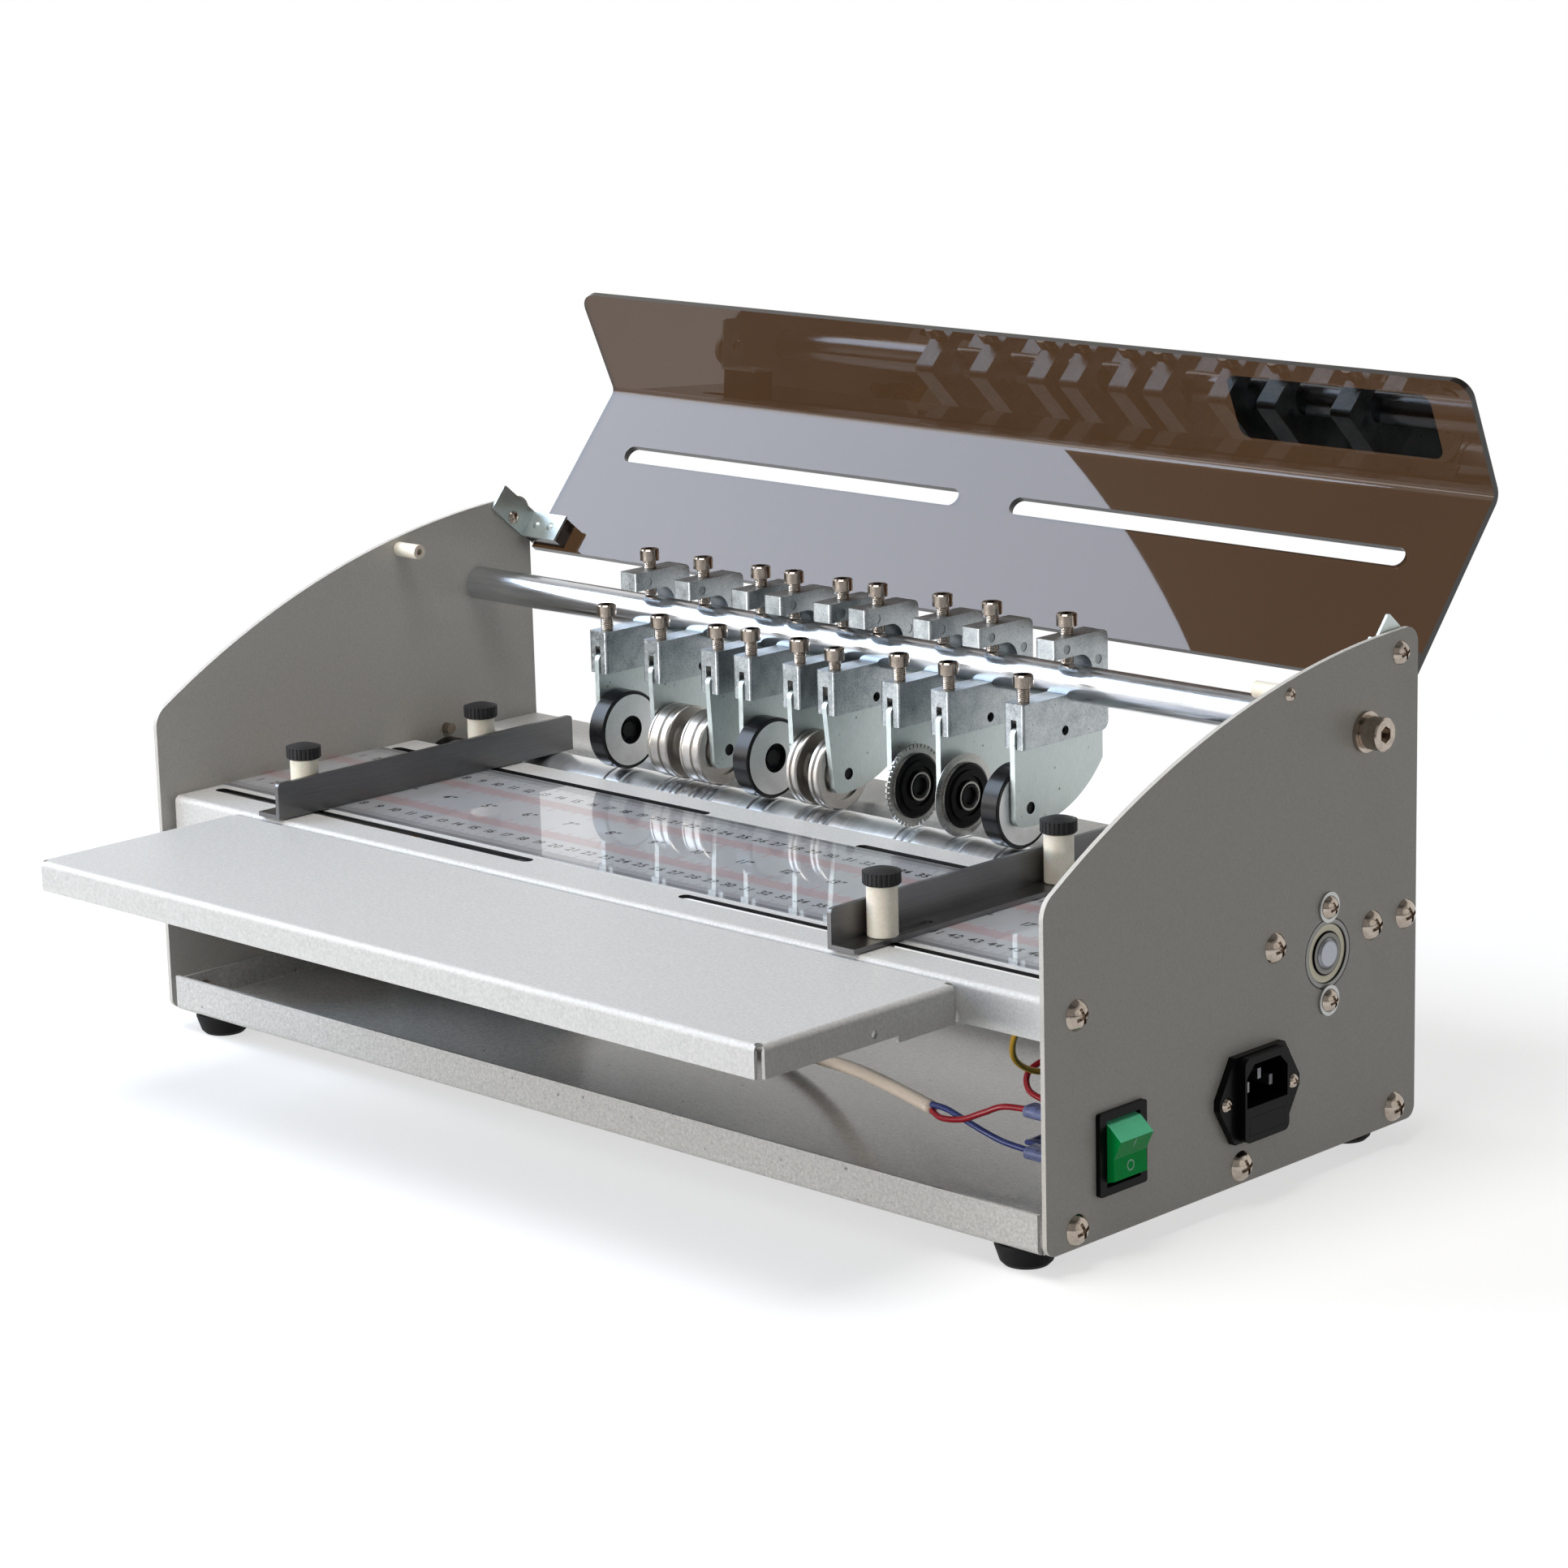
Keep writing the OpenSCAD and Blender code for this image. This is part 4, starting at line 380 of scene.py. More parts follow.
plain = {
    "left_side_plate": plate_paint, "right_side_plate": plate_paint, "base_pan": pan_paint,
    "front_tray": powder_paint, "delivery_table": powder_paint, "ruler_sheet": scale_sheet,
    "tool_bar": polished_bar, "stop_pins": nylon, "rubber_feet": foot_rubber,
    "crimp_sleeves": sleeve_plastic, "gear_motor": motor_case, "motor_bracket": sheet_zinc,
    "cover_brackets": sheet_zinc, "roller_gear": gear_brass, "motor_gear": gear_brass,
}
for side in ("left", "right"):
    plain |= {f"{side}_guide": brushed_guide, f"{side}_posts": nylon,
              f"{side}_front_knob": knob_moulding, f"{side}_rear_knob": knob_moulding}
for name, material in plain.items():
    paint(name, material)
print(len(plain), "solids with one finish")

# %% [markdown]
# A tool is a cast holder with two steel screws and a pivot pin, a zinc plate with an axle, and a
# wheel. The screws stand on known lines, so their triangles are found by their distance from them.
# The radii below are a hair larger than the drawn ones, so that corners on the wall count too.

# %% Tools
BAR, PIN, AXLE = (187.5, 161.2), (179.9, 143.0), (162.8, 113.6)
MARKS = ((BAR[0] - 6.2, 175.9), (BAR[0] + 13.3, 168.9))
ADJUST_Y, CHEEK = 160.5, 5.0
HEADS_FROM = {BAR[0]: 179.0, ADJUST_Y: 158.2}
SHANK_R, HEAD_R, MARK_R, PIN_R, HOLE_R = 2.506, 4.3, 2.02, 2.006, 3.42
TYRE_R, HUB_R, RING_R, BORE_R, HAIR = 15.7, 13.6, 6.2, 6.3, 0.02
CREASE_BORE_R, BLADE_BORE_R = 6.4, 3.9
TOOLS = [(-136.5, "feed", 0.0), (-103.1, "crease", 2.5), (-68.1, "crease", 3.0),
         (-48.3, "feed", 0.0), (-19.7, "crease", 2.5), (0.5, "crease", 6.5),
         (37.0, "perforating", 0.0), (64.2, "slitting", 0.0), (104.3, "feed", 0.0)]


def axle_of(tilt):
    """Axle of a carrier that its screw has turned about the pivot pin by an angle in degrees."""
    c, s = math.cos(math.radians(tilt)), math.sin(math.radians(tilt))
    y, z = AXLE[0] - PIN[0], AXLE[1] - PIN[1]
    return PIN[0] + c * y - s * z, PIN[1] + s * y + c * z


def screws_of(tri, x):
    """Triangles of a holder's two screws: close to a screw's line, or in the head above it."""
    found = np.zeros(len(tri), bool)
    for y, head in HEADS_FROM.items():
        r = reach(tri, (x, y), 0, 1).max(1)
        found |= (r < SHANK_R) | ((r < HEAD_R) & (tri[:, :, 2].min(1) > head))
    return found


# Rings round the feed wheel's axle, darker towards the axis: painted shade in the bore, with a grey
# ring round it.
feed_bore_shade = ringed("feed_bore_shade", AXLE, (2.4, (16, 16, 17)), (3.4, (26, 26, 27)),
                   (5.2, (66, 66, 68)), (6.3, (104, 104, 106)))
blade_bearing = ringed(
    "blade_bearing", AXLE, (3.0, (18, 18, 19)), (3.5, (120, 120, 118)), (3.9, (26, 26, 26)),
    (5.0, (40, 40, 40)), (5.3, (186, 184, 180)), (5.8, (150, 148, 144)), (6.1, (60, 59, 57)))
# In each tool the pivot pin's place, the carrier's hole round the axle and the wheels' bores get
# painted shade, and the ejector marks a darker zinc, painted shade in their shallow recesses.
for number, (x, kind, tilt) in enumerate(TOOLS, 1):
    tri = corners(f"tool_holder_{number}")
    marks = np.minimum(*[reach(tri, at).max(1) for at in MARKS]) < MARK_R
    marks &= tri[:, :, 0].max(1) > x + CHEEK
    paint(f"tool_holder_{number}", cast_zinc, (nickel, screws_of(tri, x)),
          (painted_shade, reach(tri, PIN).max(1) < PIN_R), (mark_shade_zinc, marks))
    tri = corners(f"wheel_carrier_{number}")
    hole = reach(tri, axle_of(tilt)).max(1) < HOLE_R
    paint(f"wheel_carrier_{number}", sheet_zinc, (painted_shade, hole))
    wheel = f"{kind}_wheel_{number}"
    r = reach(corners(wheel), axle_of(tilt))
    if kind == "feed":
        paint(wheel, satin_disc, (tyre_rubber, r.min(1) > TYRE_R - HAIR),
              (feed_bore_shade, r.max(1) < BORE_R + HAIR))
    elif kind == "crease":
        paint(wheel, chrome, (painted_shade, r.max(1) < CREASE_BORE_R))
    else:
        paint(wheel, black_moulding, (blade_steel, r.min(1) > HUB_R - HAIR),
              (blade_bearing, r.max(1) < RING_R + HAIR / 2), (painted_shade, r.max(1) < BLADE_BORE_R))
print(len(TOOLS), "tools painted")

# %% [markdown]
# The clamp knobs run in four slots of the feed table. A slot shows as a thin dark line, because its
# walls and the inside below lie in shade, so those walls are found and given painted shade.

# %% Slots of the feed table
SLOT_Y, SLOT_HALF, TABLE_Z, SHEET, MARGIN = (26.0, 127.0), 2.8, 95.2, 1.5, 0.05
UPRIGHT = 0.3


def facing(tri):
    """Unit normal of each triangle, from the cross product of two of its sides."""
    n = np.cross(tri[:, 1] - tri[:, 0], tri[:, 2] - tri[:, 0])
    return n / np.maximum(np.linalg.norm(n, axis=1, keepdims=True), 1e-12)


tri = corners("feed_table")
walls = np.zeros(len(tri), bool)
for y in SLOT_Y:
    walls |= between(tri, 1, y - SLOT_HALF - MARGIN, y + SLOT_HALF + MARGIN)
walls &= abs(facing(tri)[:, 2]) < UPRIGHT
walls &= between(tri, 2, TABLE_Z - SHEET - MARGIN, TABLE_Z + MARGIN)
paint("feed_table", powder_paint, (painted_shade, walls))
print(int(walls.sum()), "wall triangles in the slots")

# %% [markdown]
# The cover is one sheet with a fold. Its faces and edges are told apart by the direction of each
# triangle: an edge looks along the roller, or along the sheet itself.

# %% Cover
COVER_TILT, COVER_BEND = math.radians(49.7), math.radians(63.0)
COVER_HINGE, HINGE_OUT, HINGE_UP = (209.9, 188.1), 17.5, 4.7
BEND_FROM, FLAT_ON, SIDE_ON, EDGE_ON = 75.0, 0.9, 0.05, 0.97
along = np.array([0.0, math.cos(COVER_TILT), math.sin(COVER_TILT)])
out = np.array([0.0, -math.sin(COVER_TILT), math.cos(COVER_TILT)])
cover_edge = np.array([0.0, *COVER_HINGE]) - HINGE_OUT * out - HINGE_UP * along
lip = math.cos(COVER_BEND) * along + math.sin(COVER_BEND) * out
lip_out = math.cos(COVER_BEND) * out - math.sin(COVER_BEND) * along
tri = corners("safety_cover")
n = facing(tri)
flat = np.maximum(abs(n @ out), abs(n @ lip_out)) > FLAT_ON
bend = (tri.mean(1) - cover_edge) @ along > BEND_FROM
bend &= (abs(n[:, 0]) < SIDE_ON) & (abs(n @ lip) < EDGE_ON)
edges = paint("safety_cover", smoked_sheet, (smoked_edge, ~(flat | bend)))
print(int(edges.sum()), "edge triangles of", len(edges))

# %% [markdown]
# The small things on the side plates come in two steps. First the plated screws, the pale washers
# that two of them press on each bearing, and the bearings themselves, whose rings go on to the
# roller's ends. Both plates are alike, so the distance from the middle tells where a triangle is.

# %% Screws and bearings
RETAINER_Z, RETAINER_R, WASHER_X = (96.9, 60.1), 9.0, (253.05, 254.15)
RACE_X, ROLLER_END_R, ROLLER_END_X = (246.5, 251.5), 8.3, 244.0
tri = corners("plate_screws")
close = [reach(tri, (ROLLER_AXIS[0], z)).max(1) for z in RETAINER_Z]
retainers = (np.minimum(*close) < RETAINER_R) & between(abs(tri), 0, *WASHER_X)
paint("plate_screws", nickel, (white_zinc, retainers))
tri = corners("roller_bearings")
# Between these two planes the bearing gets painted shade.
paint("roller_bearings", bearing_face, (painted_shade, between(abs(tri), 0, *RACE_X)))
tri = corners("crease_roller")
ends = reach(tri, ROLLER_AXIS).max(1) < ROLLER_END_R
ends &= abs(tri[:, :, 0]).min(1) > ROLLER_END_X
paint("crease_roller", turned_roller, (bearing_face, ends))
print(int(retainers.sum()), "washer triangles,", int(ends.sum()), "on the roller's ends")

# %% [markdown]
# Then the switch and the inlet. Their contact tabs lie behind the plate, so a plane across the
# machine cuts them off, and the inlet's three pins are found as small boxes.

# %% Switch and inlet
SWITCH_TABS_X, INLET_TABS_X, UPPER_FACET = 230.02, 227.02, 0.2
PINS, PIN_HALF_Y, PIN_HALF_Z = ((112.5, 38.2), (119.5, 42.2), (126.5, 38.2)), 1.02, 2.02
tri = corners("switch_housing")
paint("switch_housing", black_moulding, (white_zinc, tri[:, :, 0].max(1) < SWITCH_TABS_X))
tri = corners("switch_rocker")
# The upper facet gets the paler green, a painted highlight for the light from above.
paint("switch_rocker", rocker_green, (rocker_painted_highlight, facing(tri)[:, 2] > UPPER_FACET))
tri = corners("mains_inlet")
pins = tri[:, :, 0].max(1) < INLET_TABS_X
for y, z in PINS:
    pins |= (between(tri, 1, y - PIN_HALF_Y, y + PIN_HALF_Y)
             & between(tri, 2, z - PIN_HALF_Z, z + PIN_HALF_Z))
paint("mains_inlet", black_moulding, (motor_case, pins))
print(int(pins.sum()), "triangles of pins and tabs in the inlet")

# %% [markdown]
# Wires are a circle carried along a smooth path. A cubic curve goes through the route's points, its
# tangents give a frame at every step, and one array product makes the whole tube.

# %% Tubes for the cable and the wires
OFF_ROUTE, UV_MM = (0.13, 0.21, 1.0), 10.0


def smooth_path(points, steps=10):
    """Cubic curve through the points: each span blends four neighbours with cubic weights."""
    p = np.asarray(points, float)
    p = np.vstack([2 * p[0] - p[1], p, 2 * p[-1] - p[-2]])
    t = np.linspace(0, 1, steps, endpoint=False)[:, None]
    a, b, c, d = p[:-3, None], p[1:-2, None], p[2:-1, None], p[3:, None]
    square, cube = 2 * a - 5 * b + 4 * c - d, 3 * b - a - 3 * c + d
    curve = 0.5 * (2 * b + (c - a) * t + square * t**2 + cube * t**3)
    return np.vstack([curve.reshape(-1, 3), p[-2]])


def tube(path, radius, sides):
    """Circle of the radius in the plane across the path, at every point: (points, sides, 3)."""
    tangent = np.gradient(path, axis=0)
    tangent /= np.linalg.norm(tangent, axis=1, keepdims=True)
    side = np.cross(tangent, OFF_ROUTE)
    side /= np.linalg.norm(side, axis=1, keepdims=True)
    rise = np.cross(tangent, side)
    angle = np.linspace(0, 2 * math.pi, sides, endpoint=False)[None, :, None]
    return path[:, None] + radius * (np.cos(angle) * side[:, None] + np.sin(angle) * rise[:, None])


def quads(rows, columns):
    """Corner numbers of the quads between neighbouring points of a grid, closed across columns."""
    i = np.arange(rows - 1)[:, None] * columns
    j = np.arange(columns)[None, :]
    k = (j + 1) % columns
    return np.stack([i + j, i + k, i + columns + k, i + columns + j], -1).reshape(-1, 4)


def closed_tube(path, radius, sides=14):
    """Tube with its two ends closed by a ring of triangles to a middle point, and its own UV."""
    rows = len(path)
    points = np.vstack([tube(path, radius, sides).reshape(-1, 3), path[0], path[-1]])
    j = np.arange(sides)
    k = (j + 1) % sides
    start_point, end_point, last_row = rows * sides, rows * sides + 1, (rows - 1) * sides
    first = np.stack([k, j, np.full(sides, start_point)], -1)
    last = np.stack([j + last_row, k + last_row, np.full(sides, end_point)], -1)
    faces = [*quads(rows, sides).tolist(), *first.tolist(), *last.tolist()]
    far = np.concatenate([[0], np.cumsum(np.linalg.norm(np.diff(path, axis=0), axis=1))]) / UV_MM
    uv = np.stack([np.repeat(far, sides), np.tile(j / sides, rows)], -1)
    return points, faces, np.vstack([uv, [[0, 0.5], [far[-1], 0.5]]])


def piece(name, points, faces, material, body, smooth=True, uv=None):
    """Puts arrays of points (machine mm) and faces into a mesh object that rides on a body."""
    mesh = bpy.data.meshes.new(name)
    mesh.from_pydata(place(points).tolist(), [], [list(f) for f in faces])
    mesh.materials.append(material)
    mesh.polygons.foreach_set("use_smooth", np.full(len(mesh.polygons), smooth))
    if uv is not None:
        order = np.empty(len(mesh.loops), np.int32)
        mesh.loops.foreach_get("vertex_index", order)
        spread = np.asarray(uv, np.float32)[order].ravel()
        mesh.uv_layers.new(name="along").uv.foreach_set("vector", spread)
    mesh.update()
    made = bpy.data.objects.new(name, mesh)
    bpy.context.scene.collection.objects.link(made)
    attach(made, body)
    return made


print("tube helpers ready")

# %% [markdown]
# The routes repeat those of the solid model, in its own millimetres, so each wire leaves its crimp
# sleeve and reaches its contact. The cable lies on the pan's floor from the motor to its cut end,
# where the red and the blue wire come out of it.

# %% Routes
MOTOR_END, WIRE_END, INLET_WIRE, INNER = -158.4, 214.8, 211.8, 251.0
CABLE_END = WIRE_END - 51.8
SWITCH, INLET = (40.9, 32.2), (119.5, 34.5)
TAB_Y, TAB_Z = 5.5, 8
routes = {
    "cable": [(MOTOR_END - 3, 133.3, 36.5), (MOTOR_END + 8.4, 133, 36), (MOTOR_END + 20.4, 133, 30),
              (MOTOR_END + 32.4, 132, 18), (MOTOR_END + 48.4, 130, 7), (-80, 128, 5), (-40, 124, 5),
              (0, 117, 6), (40, 104, 10), (80, 85, 17), (120, 62, 24), (CABLE_END, 38, 30)],
    "red": [(CABLE_END + 0.7, 37.6, 29.0), (CABLE_END + 9, 34, 28.6), (WIRE_END - 30.8, 32, 31),
            (WIRE_END - 20.8, 33, 35.4), (WIRE_END - 12.8, 35, 38.8),
            (WIRE_END, SWITCH[0] - TAB_Y, SWITCH[1] + TAB_Z)],
    "blue": [(CABLE_END + 0.9, 37.5, 31.4), (CABLE_END + 9, 36.5, 31.6), (WIRE_END - 32.8, 35, 30),
             (WIRE_END - 22.8, 34.5, 27.6), (WIRE_END - 12.8, 35, 25.2),
             (WIRE_END, SWITCH[0] - TAB_Y, SWITCH[1] - TAB_Z)],
    "live": [(WIRE_END, SWITCH[0] + TAB_Y, SWITCH[1] + TAB_Z), (WIRE_END - 10.8, 47.5, 42.5),
             (WIRE_END - 14.8, 52, 48), (WIRE_END - 11.8, 62, 52), (WIRE_END - 9.8, 80, 50),
             (WIRE_END - 11.8, 98, 46), (WIRE_END - 9.8, 108, 42),
             (INLET_WIRE, INLET[0] - 7, INLET[1] + 6)],
    "neutral": [(WIRE_END, SWITCH[0] + TAB_Y, SWITCH[1] - TAB_Z), (WIRE_END - 11.8, 48, 22),
                (WIRE_END - 15.8, 56, 20), (WIRE_END - 13.8, 76, 22), (WIRE_END - 12.8, 100, 30),
                (WIRE_END - 13.8, 116, 37), (WIRE_END - 10.8, 124, 40),
                (INLET_WIRE, INLET[0] + 7, INLET[1] + 6)],
    "earth": [(245, 17.8, 87.6), (INNER - 15, 18.2, 86), (INNER - 25, 20, 80), (INNER - 33, 23, 70),
              (INNER - 38, 30, 60), (INNER - 38, 42, 53), (INNER - 37, 60, 51), (INNER - 41, 86, 55),
              (INNER - 47, 104, 55), (INNER - 48, 114, 51), (INLET_WIRE, INLET[0], INLET[1] + 13)],
}
print(len(routes), "routes")

# %% [markdown]
# The motor's cable has a cream sheath with a faint braid, drawn from the tube's own UV map: two sets
# of slanted waves cross each other. The earth wire's yellow stripe comes from the same waves, so
# stretched that they run along the wire.

# %% Cable sheath and wire colours
CABLE_R, CABLE_SIDES, WIRE_R = 2.7, 20, 1.2


def wound(name, dark, light, turns, length, rough, relief):
    """Two sine waves that slope across the tube's UV map in opposite ways, as a braid does."""
    made, tree, shader, _ = start(name)
    uv = box(tree, "UVMap", uv_map="along").outputs["UV"]
    waves = []
    for turn in (turns, -turns):
        slope = box(tree, "Mapping", {"Vector": uv, "Scale": (length, turn, 1)}).outputs["Vector"]
        waves.append(box(tree, "TexWave", {"Vector": slope, "Scale": 1.0},
                         bands_direction="DIAGONAL").outputs["Fac"])
    braid = maths(tree, "MAXIMUM", *waves)
    tree.links.new(ramp(tree, braid, (0.2, dark), (0.8, light)), shader.inputs["Base Color"])
    bump = box(tree, "Bump", {"Strength": 1.0, "Distance": relief / 1000, "Height": braid})
    tree.links.new(bump.outputs["Normal"], shader.inputs["Normal"])
    shader.inputs["Roughness"].default_value = rough
    return made


sheath = wound("cable_sheath", (212, 196, 178), (232, 217, 201), turns=3.77, length=3, rough=0.5,
               relief=0.03)
earth_stripe = wound("earth_stripe", (66, 92, 38), (186, 146, 40), turns=0.6283, length=0.02,
                     rough=0.4, relief=0.01)
red_wire = finish("red_wire", (138, 14, 28), (166, 26, 40), (0.3, 0.42), clouds=200)
blue_wire = finish("blue_wire", (40, 50, 104), (56, 68, 128), (0.3, 0.42), clouds=200)
points, faces, uv = closed_tube(smooth_path(routes["cable"]), CABLE_R, CABLE_SIDES)
cable = piece("motor_cable_sheath", points, faces, sheath, "chassis", uv=uv)
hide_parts("motor_cable")
for name, colour in (("red", red_wire), ("live", red_wire), ("blue", blue_wire),
                     ("neutral", blue_wire), ("earth", earth_stripe)):
    points, faces, uv = closed_tube(smooth_path(routes[name]), WIRE_R)
    made = piece(f"{name}_wire", points, faces, colour, "chassis", uv=uv)
    if name == "red":
        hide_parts("wiring")
    print(name, "wire of", len(points), "points")

# %% [markdown]
# The tool screws are threaded. A thread is one surface: the radius rises and falls as a triangle
# wave of height, and the wave starts a little higher all the way round, which makes it a helix. It
# fades out near both ends, where the last row sinks into the plain shank of the solid.

# %% Screw threads
PITCH, ROOT_R, CREST_R, FADE, END_SINK = 0.8, 2.52, 2.78, 0.4, 0.12
CLAMP_SPANS = ((180.55, 184.25), (168.9, 172.45))
ADJUST_LOW, FLAT_TOP, HEAD_OVER_FLAT, HEAD_GAP = 157.55, 147.5, 16.2, 0.05


def thread(x, y, low, high, sides=28, rows_per_turn=8):
    """Radius = root + rise x triangle wave of (height / pitch - angle / full turn), on a grid."""
    rows = int((high - low) / PITCH * rows_per_turn) + 1
    z = np.linspace(low, high, rows)[:, None]
    angle = np.linspace(0, 2 * math.pi, sides, endpoint=False)[None, :]
    wave = 1 - abs(2 * ((z / PITCH - angle / (2 * math.pi)) % 1.0) - 1)
    fade = np.clip(np.minimum(z - low, high - z) / FADE, 0, 1)
    r = np.where(fade > 0, ROOT_R, ROOT_R - END_SINK) + fade * (CREST_R - ROOT_R) * wave
    grid = np.stack([x + r * np.cos(angle), y + r * np.sin(angle), z + 0 * angle], -1)
    return grid.reshape(-1, 3), quads(rows, sides)


for number, (x, _, tilt) in enumerate(TOOLS, 1):
    drop = (PIN[0] - ADJUST_Y) * math.tan(math.radians(tilt))
    under_head = FLAT_TOP - drop + HEAD_OVER_FLAT
    spans = [(BAR[0], *span) for span in CLAMP_SPANS]
    spans.append((ADJUST_Y, ADJUST_LOW, under_head - HEAD_GAP))
    points, faces = [], []
    for y, low, high in spans:
        p, f = thread(x, y, low, high)
        faces.append(f + sum(len(q) for q in points))
        points.append(p)
    piece(f"screw_threads_{number}", np.vstack(points), np.vstack(faces), nickel,
          f"tool_holder_{number}")
print("threads on", 2 * len(TOOLS), "screws")

# %% [markdown]
# The scale's numbers could stay text objects, but a hundred of them are slow. Each digit is turned
# into flat triangles once, at size 1, and copied from there by array sums.

# %% Digits of the scale
SCALE_TOP, INK_LIFT, BOLD, DIGIT_GAP, HALF_HEIGHT = 95.6, 0.03, 0.02, 0.06, 0.35


def glyph(sign):
    """Flat triangles of one character at size 1, its corner points and its width."""
    curve = bpy.data.curves.new("sign", "FONT")
    curve.body = sign
    curve.offset = BOLD
    text = bpy.data.objects.new("sign", curve)
    bpy.context.scene.collection.objects.link(text)
    bpy.context.view_layer.update()
    drawn = text.evaluated_get(bpy.context.evaluated_depsgraph_get())
    mesh = bpy.data.meshes.new_from_object(drawn)
    mesh.calc_loop_triangles()
    points = np.empty(3 * len(mesh.vertices))
    mesh.vertices.foreach_get("co", points)
    triangles = np.empty(3 * len(mesh.loop_triangles), np.int32)
    mesh.loop_triangles.foreach_get("vertices", triangles)
    points, triangles = points.reshape(-1, 3), triangles.reshape(-1, 3)
    bpy.data.objects.remove(text)
    bpy.data.curves.remove(curve)
    bpy.data.meshes.remove(mesh)
    return points, triangles, points[:, 0].max() + DIGIT_GAP


def words(entries):
    """Number strings as (text, middle x, middle y, size): glyphs side by side, centred there."""
    points, faces, count = [], [], 0
    for text, x, y, size in entries:
        pen = -sum(digits[c][2] for c in text) / 2
        for c in text:
            p, f, width = digits[c]
            flat = (p[:, :2] + [pen, -HALF_HEIGHT]) * size + [x, y]
            points.append(np.column_stack([flat, np.full(len(p), SCALE_TOP + INK_LIFT)]))
            faces.append(f + count)
            count += len(p)
            pen += width
    return np.vstack(points), np.vstack(faces)


digits = {sign: glyph(sign) for sign in "0123456789\""}
print("digits of", [len(g[1]) for g in digits.values()], "triangles")

# %% [markdown]
# The print has centimetre numbers along both edges with a tick for each millimetre, and inch numbers
# in the middle with a tick for each sixteenth. Ticks are thin rectangles, longer at round values.
# All the ink lies 0.03 mm above the sheet.

# %% Scale print
ZERO_X, CM, INCH, PARTS = -252.4, 10, 25.4, 16
CM_NUMBERS, CM_ROWS, CM_SIZE = 49, (48.4, 107.2), 6.4
INCH_NUMBERS, INCH_ROW, INCH_SIZE = 19, 77.8, 7.0
MM_EDGES, MM_WIDTH, INCH_EDGES, INCH_WIDTH = (36.0, 120.0), 0.3, (55.5, 100.5), 0.45
BORDER_EDGES, BORDER, BORDER_GAP = (32.4, 123.6), 3.2, 1.0


def bars(x, y0, y1, width):
    """Rectangles centred on each x, from y0 to y1, as one array of points and one of faces."""
    x, y0, y1 = np.broadcast_arrays(np.asarray(x, float), y0, y1)
    left, right = x - width / 2, x + width / 2
    p = np.stack([np.stack([left, y0], -1), np.stack([right, y0], -1),
                  np.stack([right, y1], -1), np.stack([left, y1], -1)], 1)
    z = np.full((*p.shape[:2], 1), SCALE_TOP + INK_LIFT)
    return np.concatenate([p, z], -1).reshape(-1, 3), np.arange(4 * len(x)).reshape(-1, 4)


def double_row(name, x, length, edges, width, colour):
    """Two rows of bars at each x, which grow inwards from a near edge and from a far edge."""
    near = bars(x, edges[0], edges[0] + length, width)
    far = bars(x, edges[1] - length, edges[1], width)
    piece(name, np.vstack([near[0], far[0]]), np.vstack([near[1], far[1] + len(near[0])]),
          ink[colour], "chassis", smooth=False)


entries = [(str(k), ZERO_X + CM * k, y, CM_SIZE)
           for k in range(1, CM_NUMBERS + 1) for y in CM_ROWS]
entries += [(f"{k}\"", ZERO_X + INCH * k, INCH_ROW, INCH_SIZE)
            for k in range(1, INCH_NUMBERS + 1)]
points, faces = words(entries)
piece("scale_numbers", points, faces, ink["black"], "chassis", smooth=False)
mm = np.arange(2, 502)
length = np.where(mm % 10 == 0, 7.0, np.where(mm % 5 == 0, 5.0, 3.5))
double_row("scale_millimetres", ZERO_X + mm, length, MM_EDGES, MM_WIDTH, "grey")
part = np.arange(1, PARTS * INCH_NUMBERS + 12)
length = np.select([part % 16 == 0, part % 8 == 0, part % 4 == 0], [13.0, 11.0, 9.5], 8.0)
double_row("scale_inches", ZERO_X + part * INCH / PARTS, length, INCH_EDGES, INCH_WIDTH, "red")
scale_left, scale_right = [corner[0] * 1000 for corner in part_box("ruler_sheet")]
double_row("scale_borders", [(scale_left + scale_right) / 2], BORDER, BORDER_EDGES,
           scale_right - scale_left - BORDER_GAP, "grey")
print("scale printed from", round(scale_left, 1), "to", round(scale_right, 1), "mm")

# %% [markdown]
# A bare black film is stuck on the outside of the cover's lip. It is a rectangle with round corners,
# drawn as rings from the middle to the rim, and its rim goes down to the sheet.

# %% Film on the lip
FILM_X, FILM_S, FILM_R = (126.5, 227.7), (13.2, 42.3), 5.0
FOLD_AT, FILM_TOP, FILM_FOOT = 86.3, 3.12, 3.02
FILM_WIDE, FILM_HIGH = FILM_X[1] - FILM_X[0], FILM_S[1] - FILM_S[0]


def rounded_plate(half_w, half_h, r, sides=64):
    """Rim of a rectangle with corner radius r: a circle's points pushed out to the corners."""
    angle = np.linspace(0, 2 * math.pi, sides, endpoint=False) + math.pi / sides
    c, s = np.cos(angle), np.sin(angle)
    return np.stack([np.sign(c) * (half_w - r) + r * c, np.sign(s) * (half_h - r) + r * s], -1)


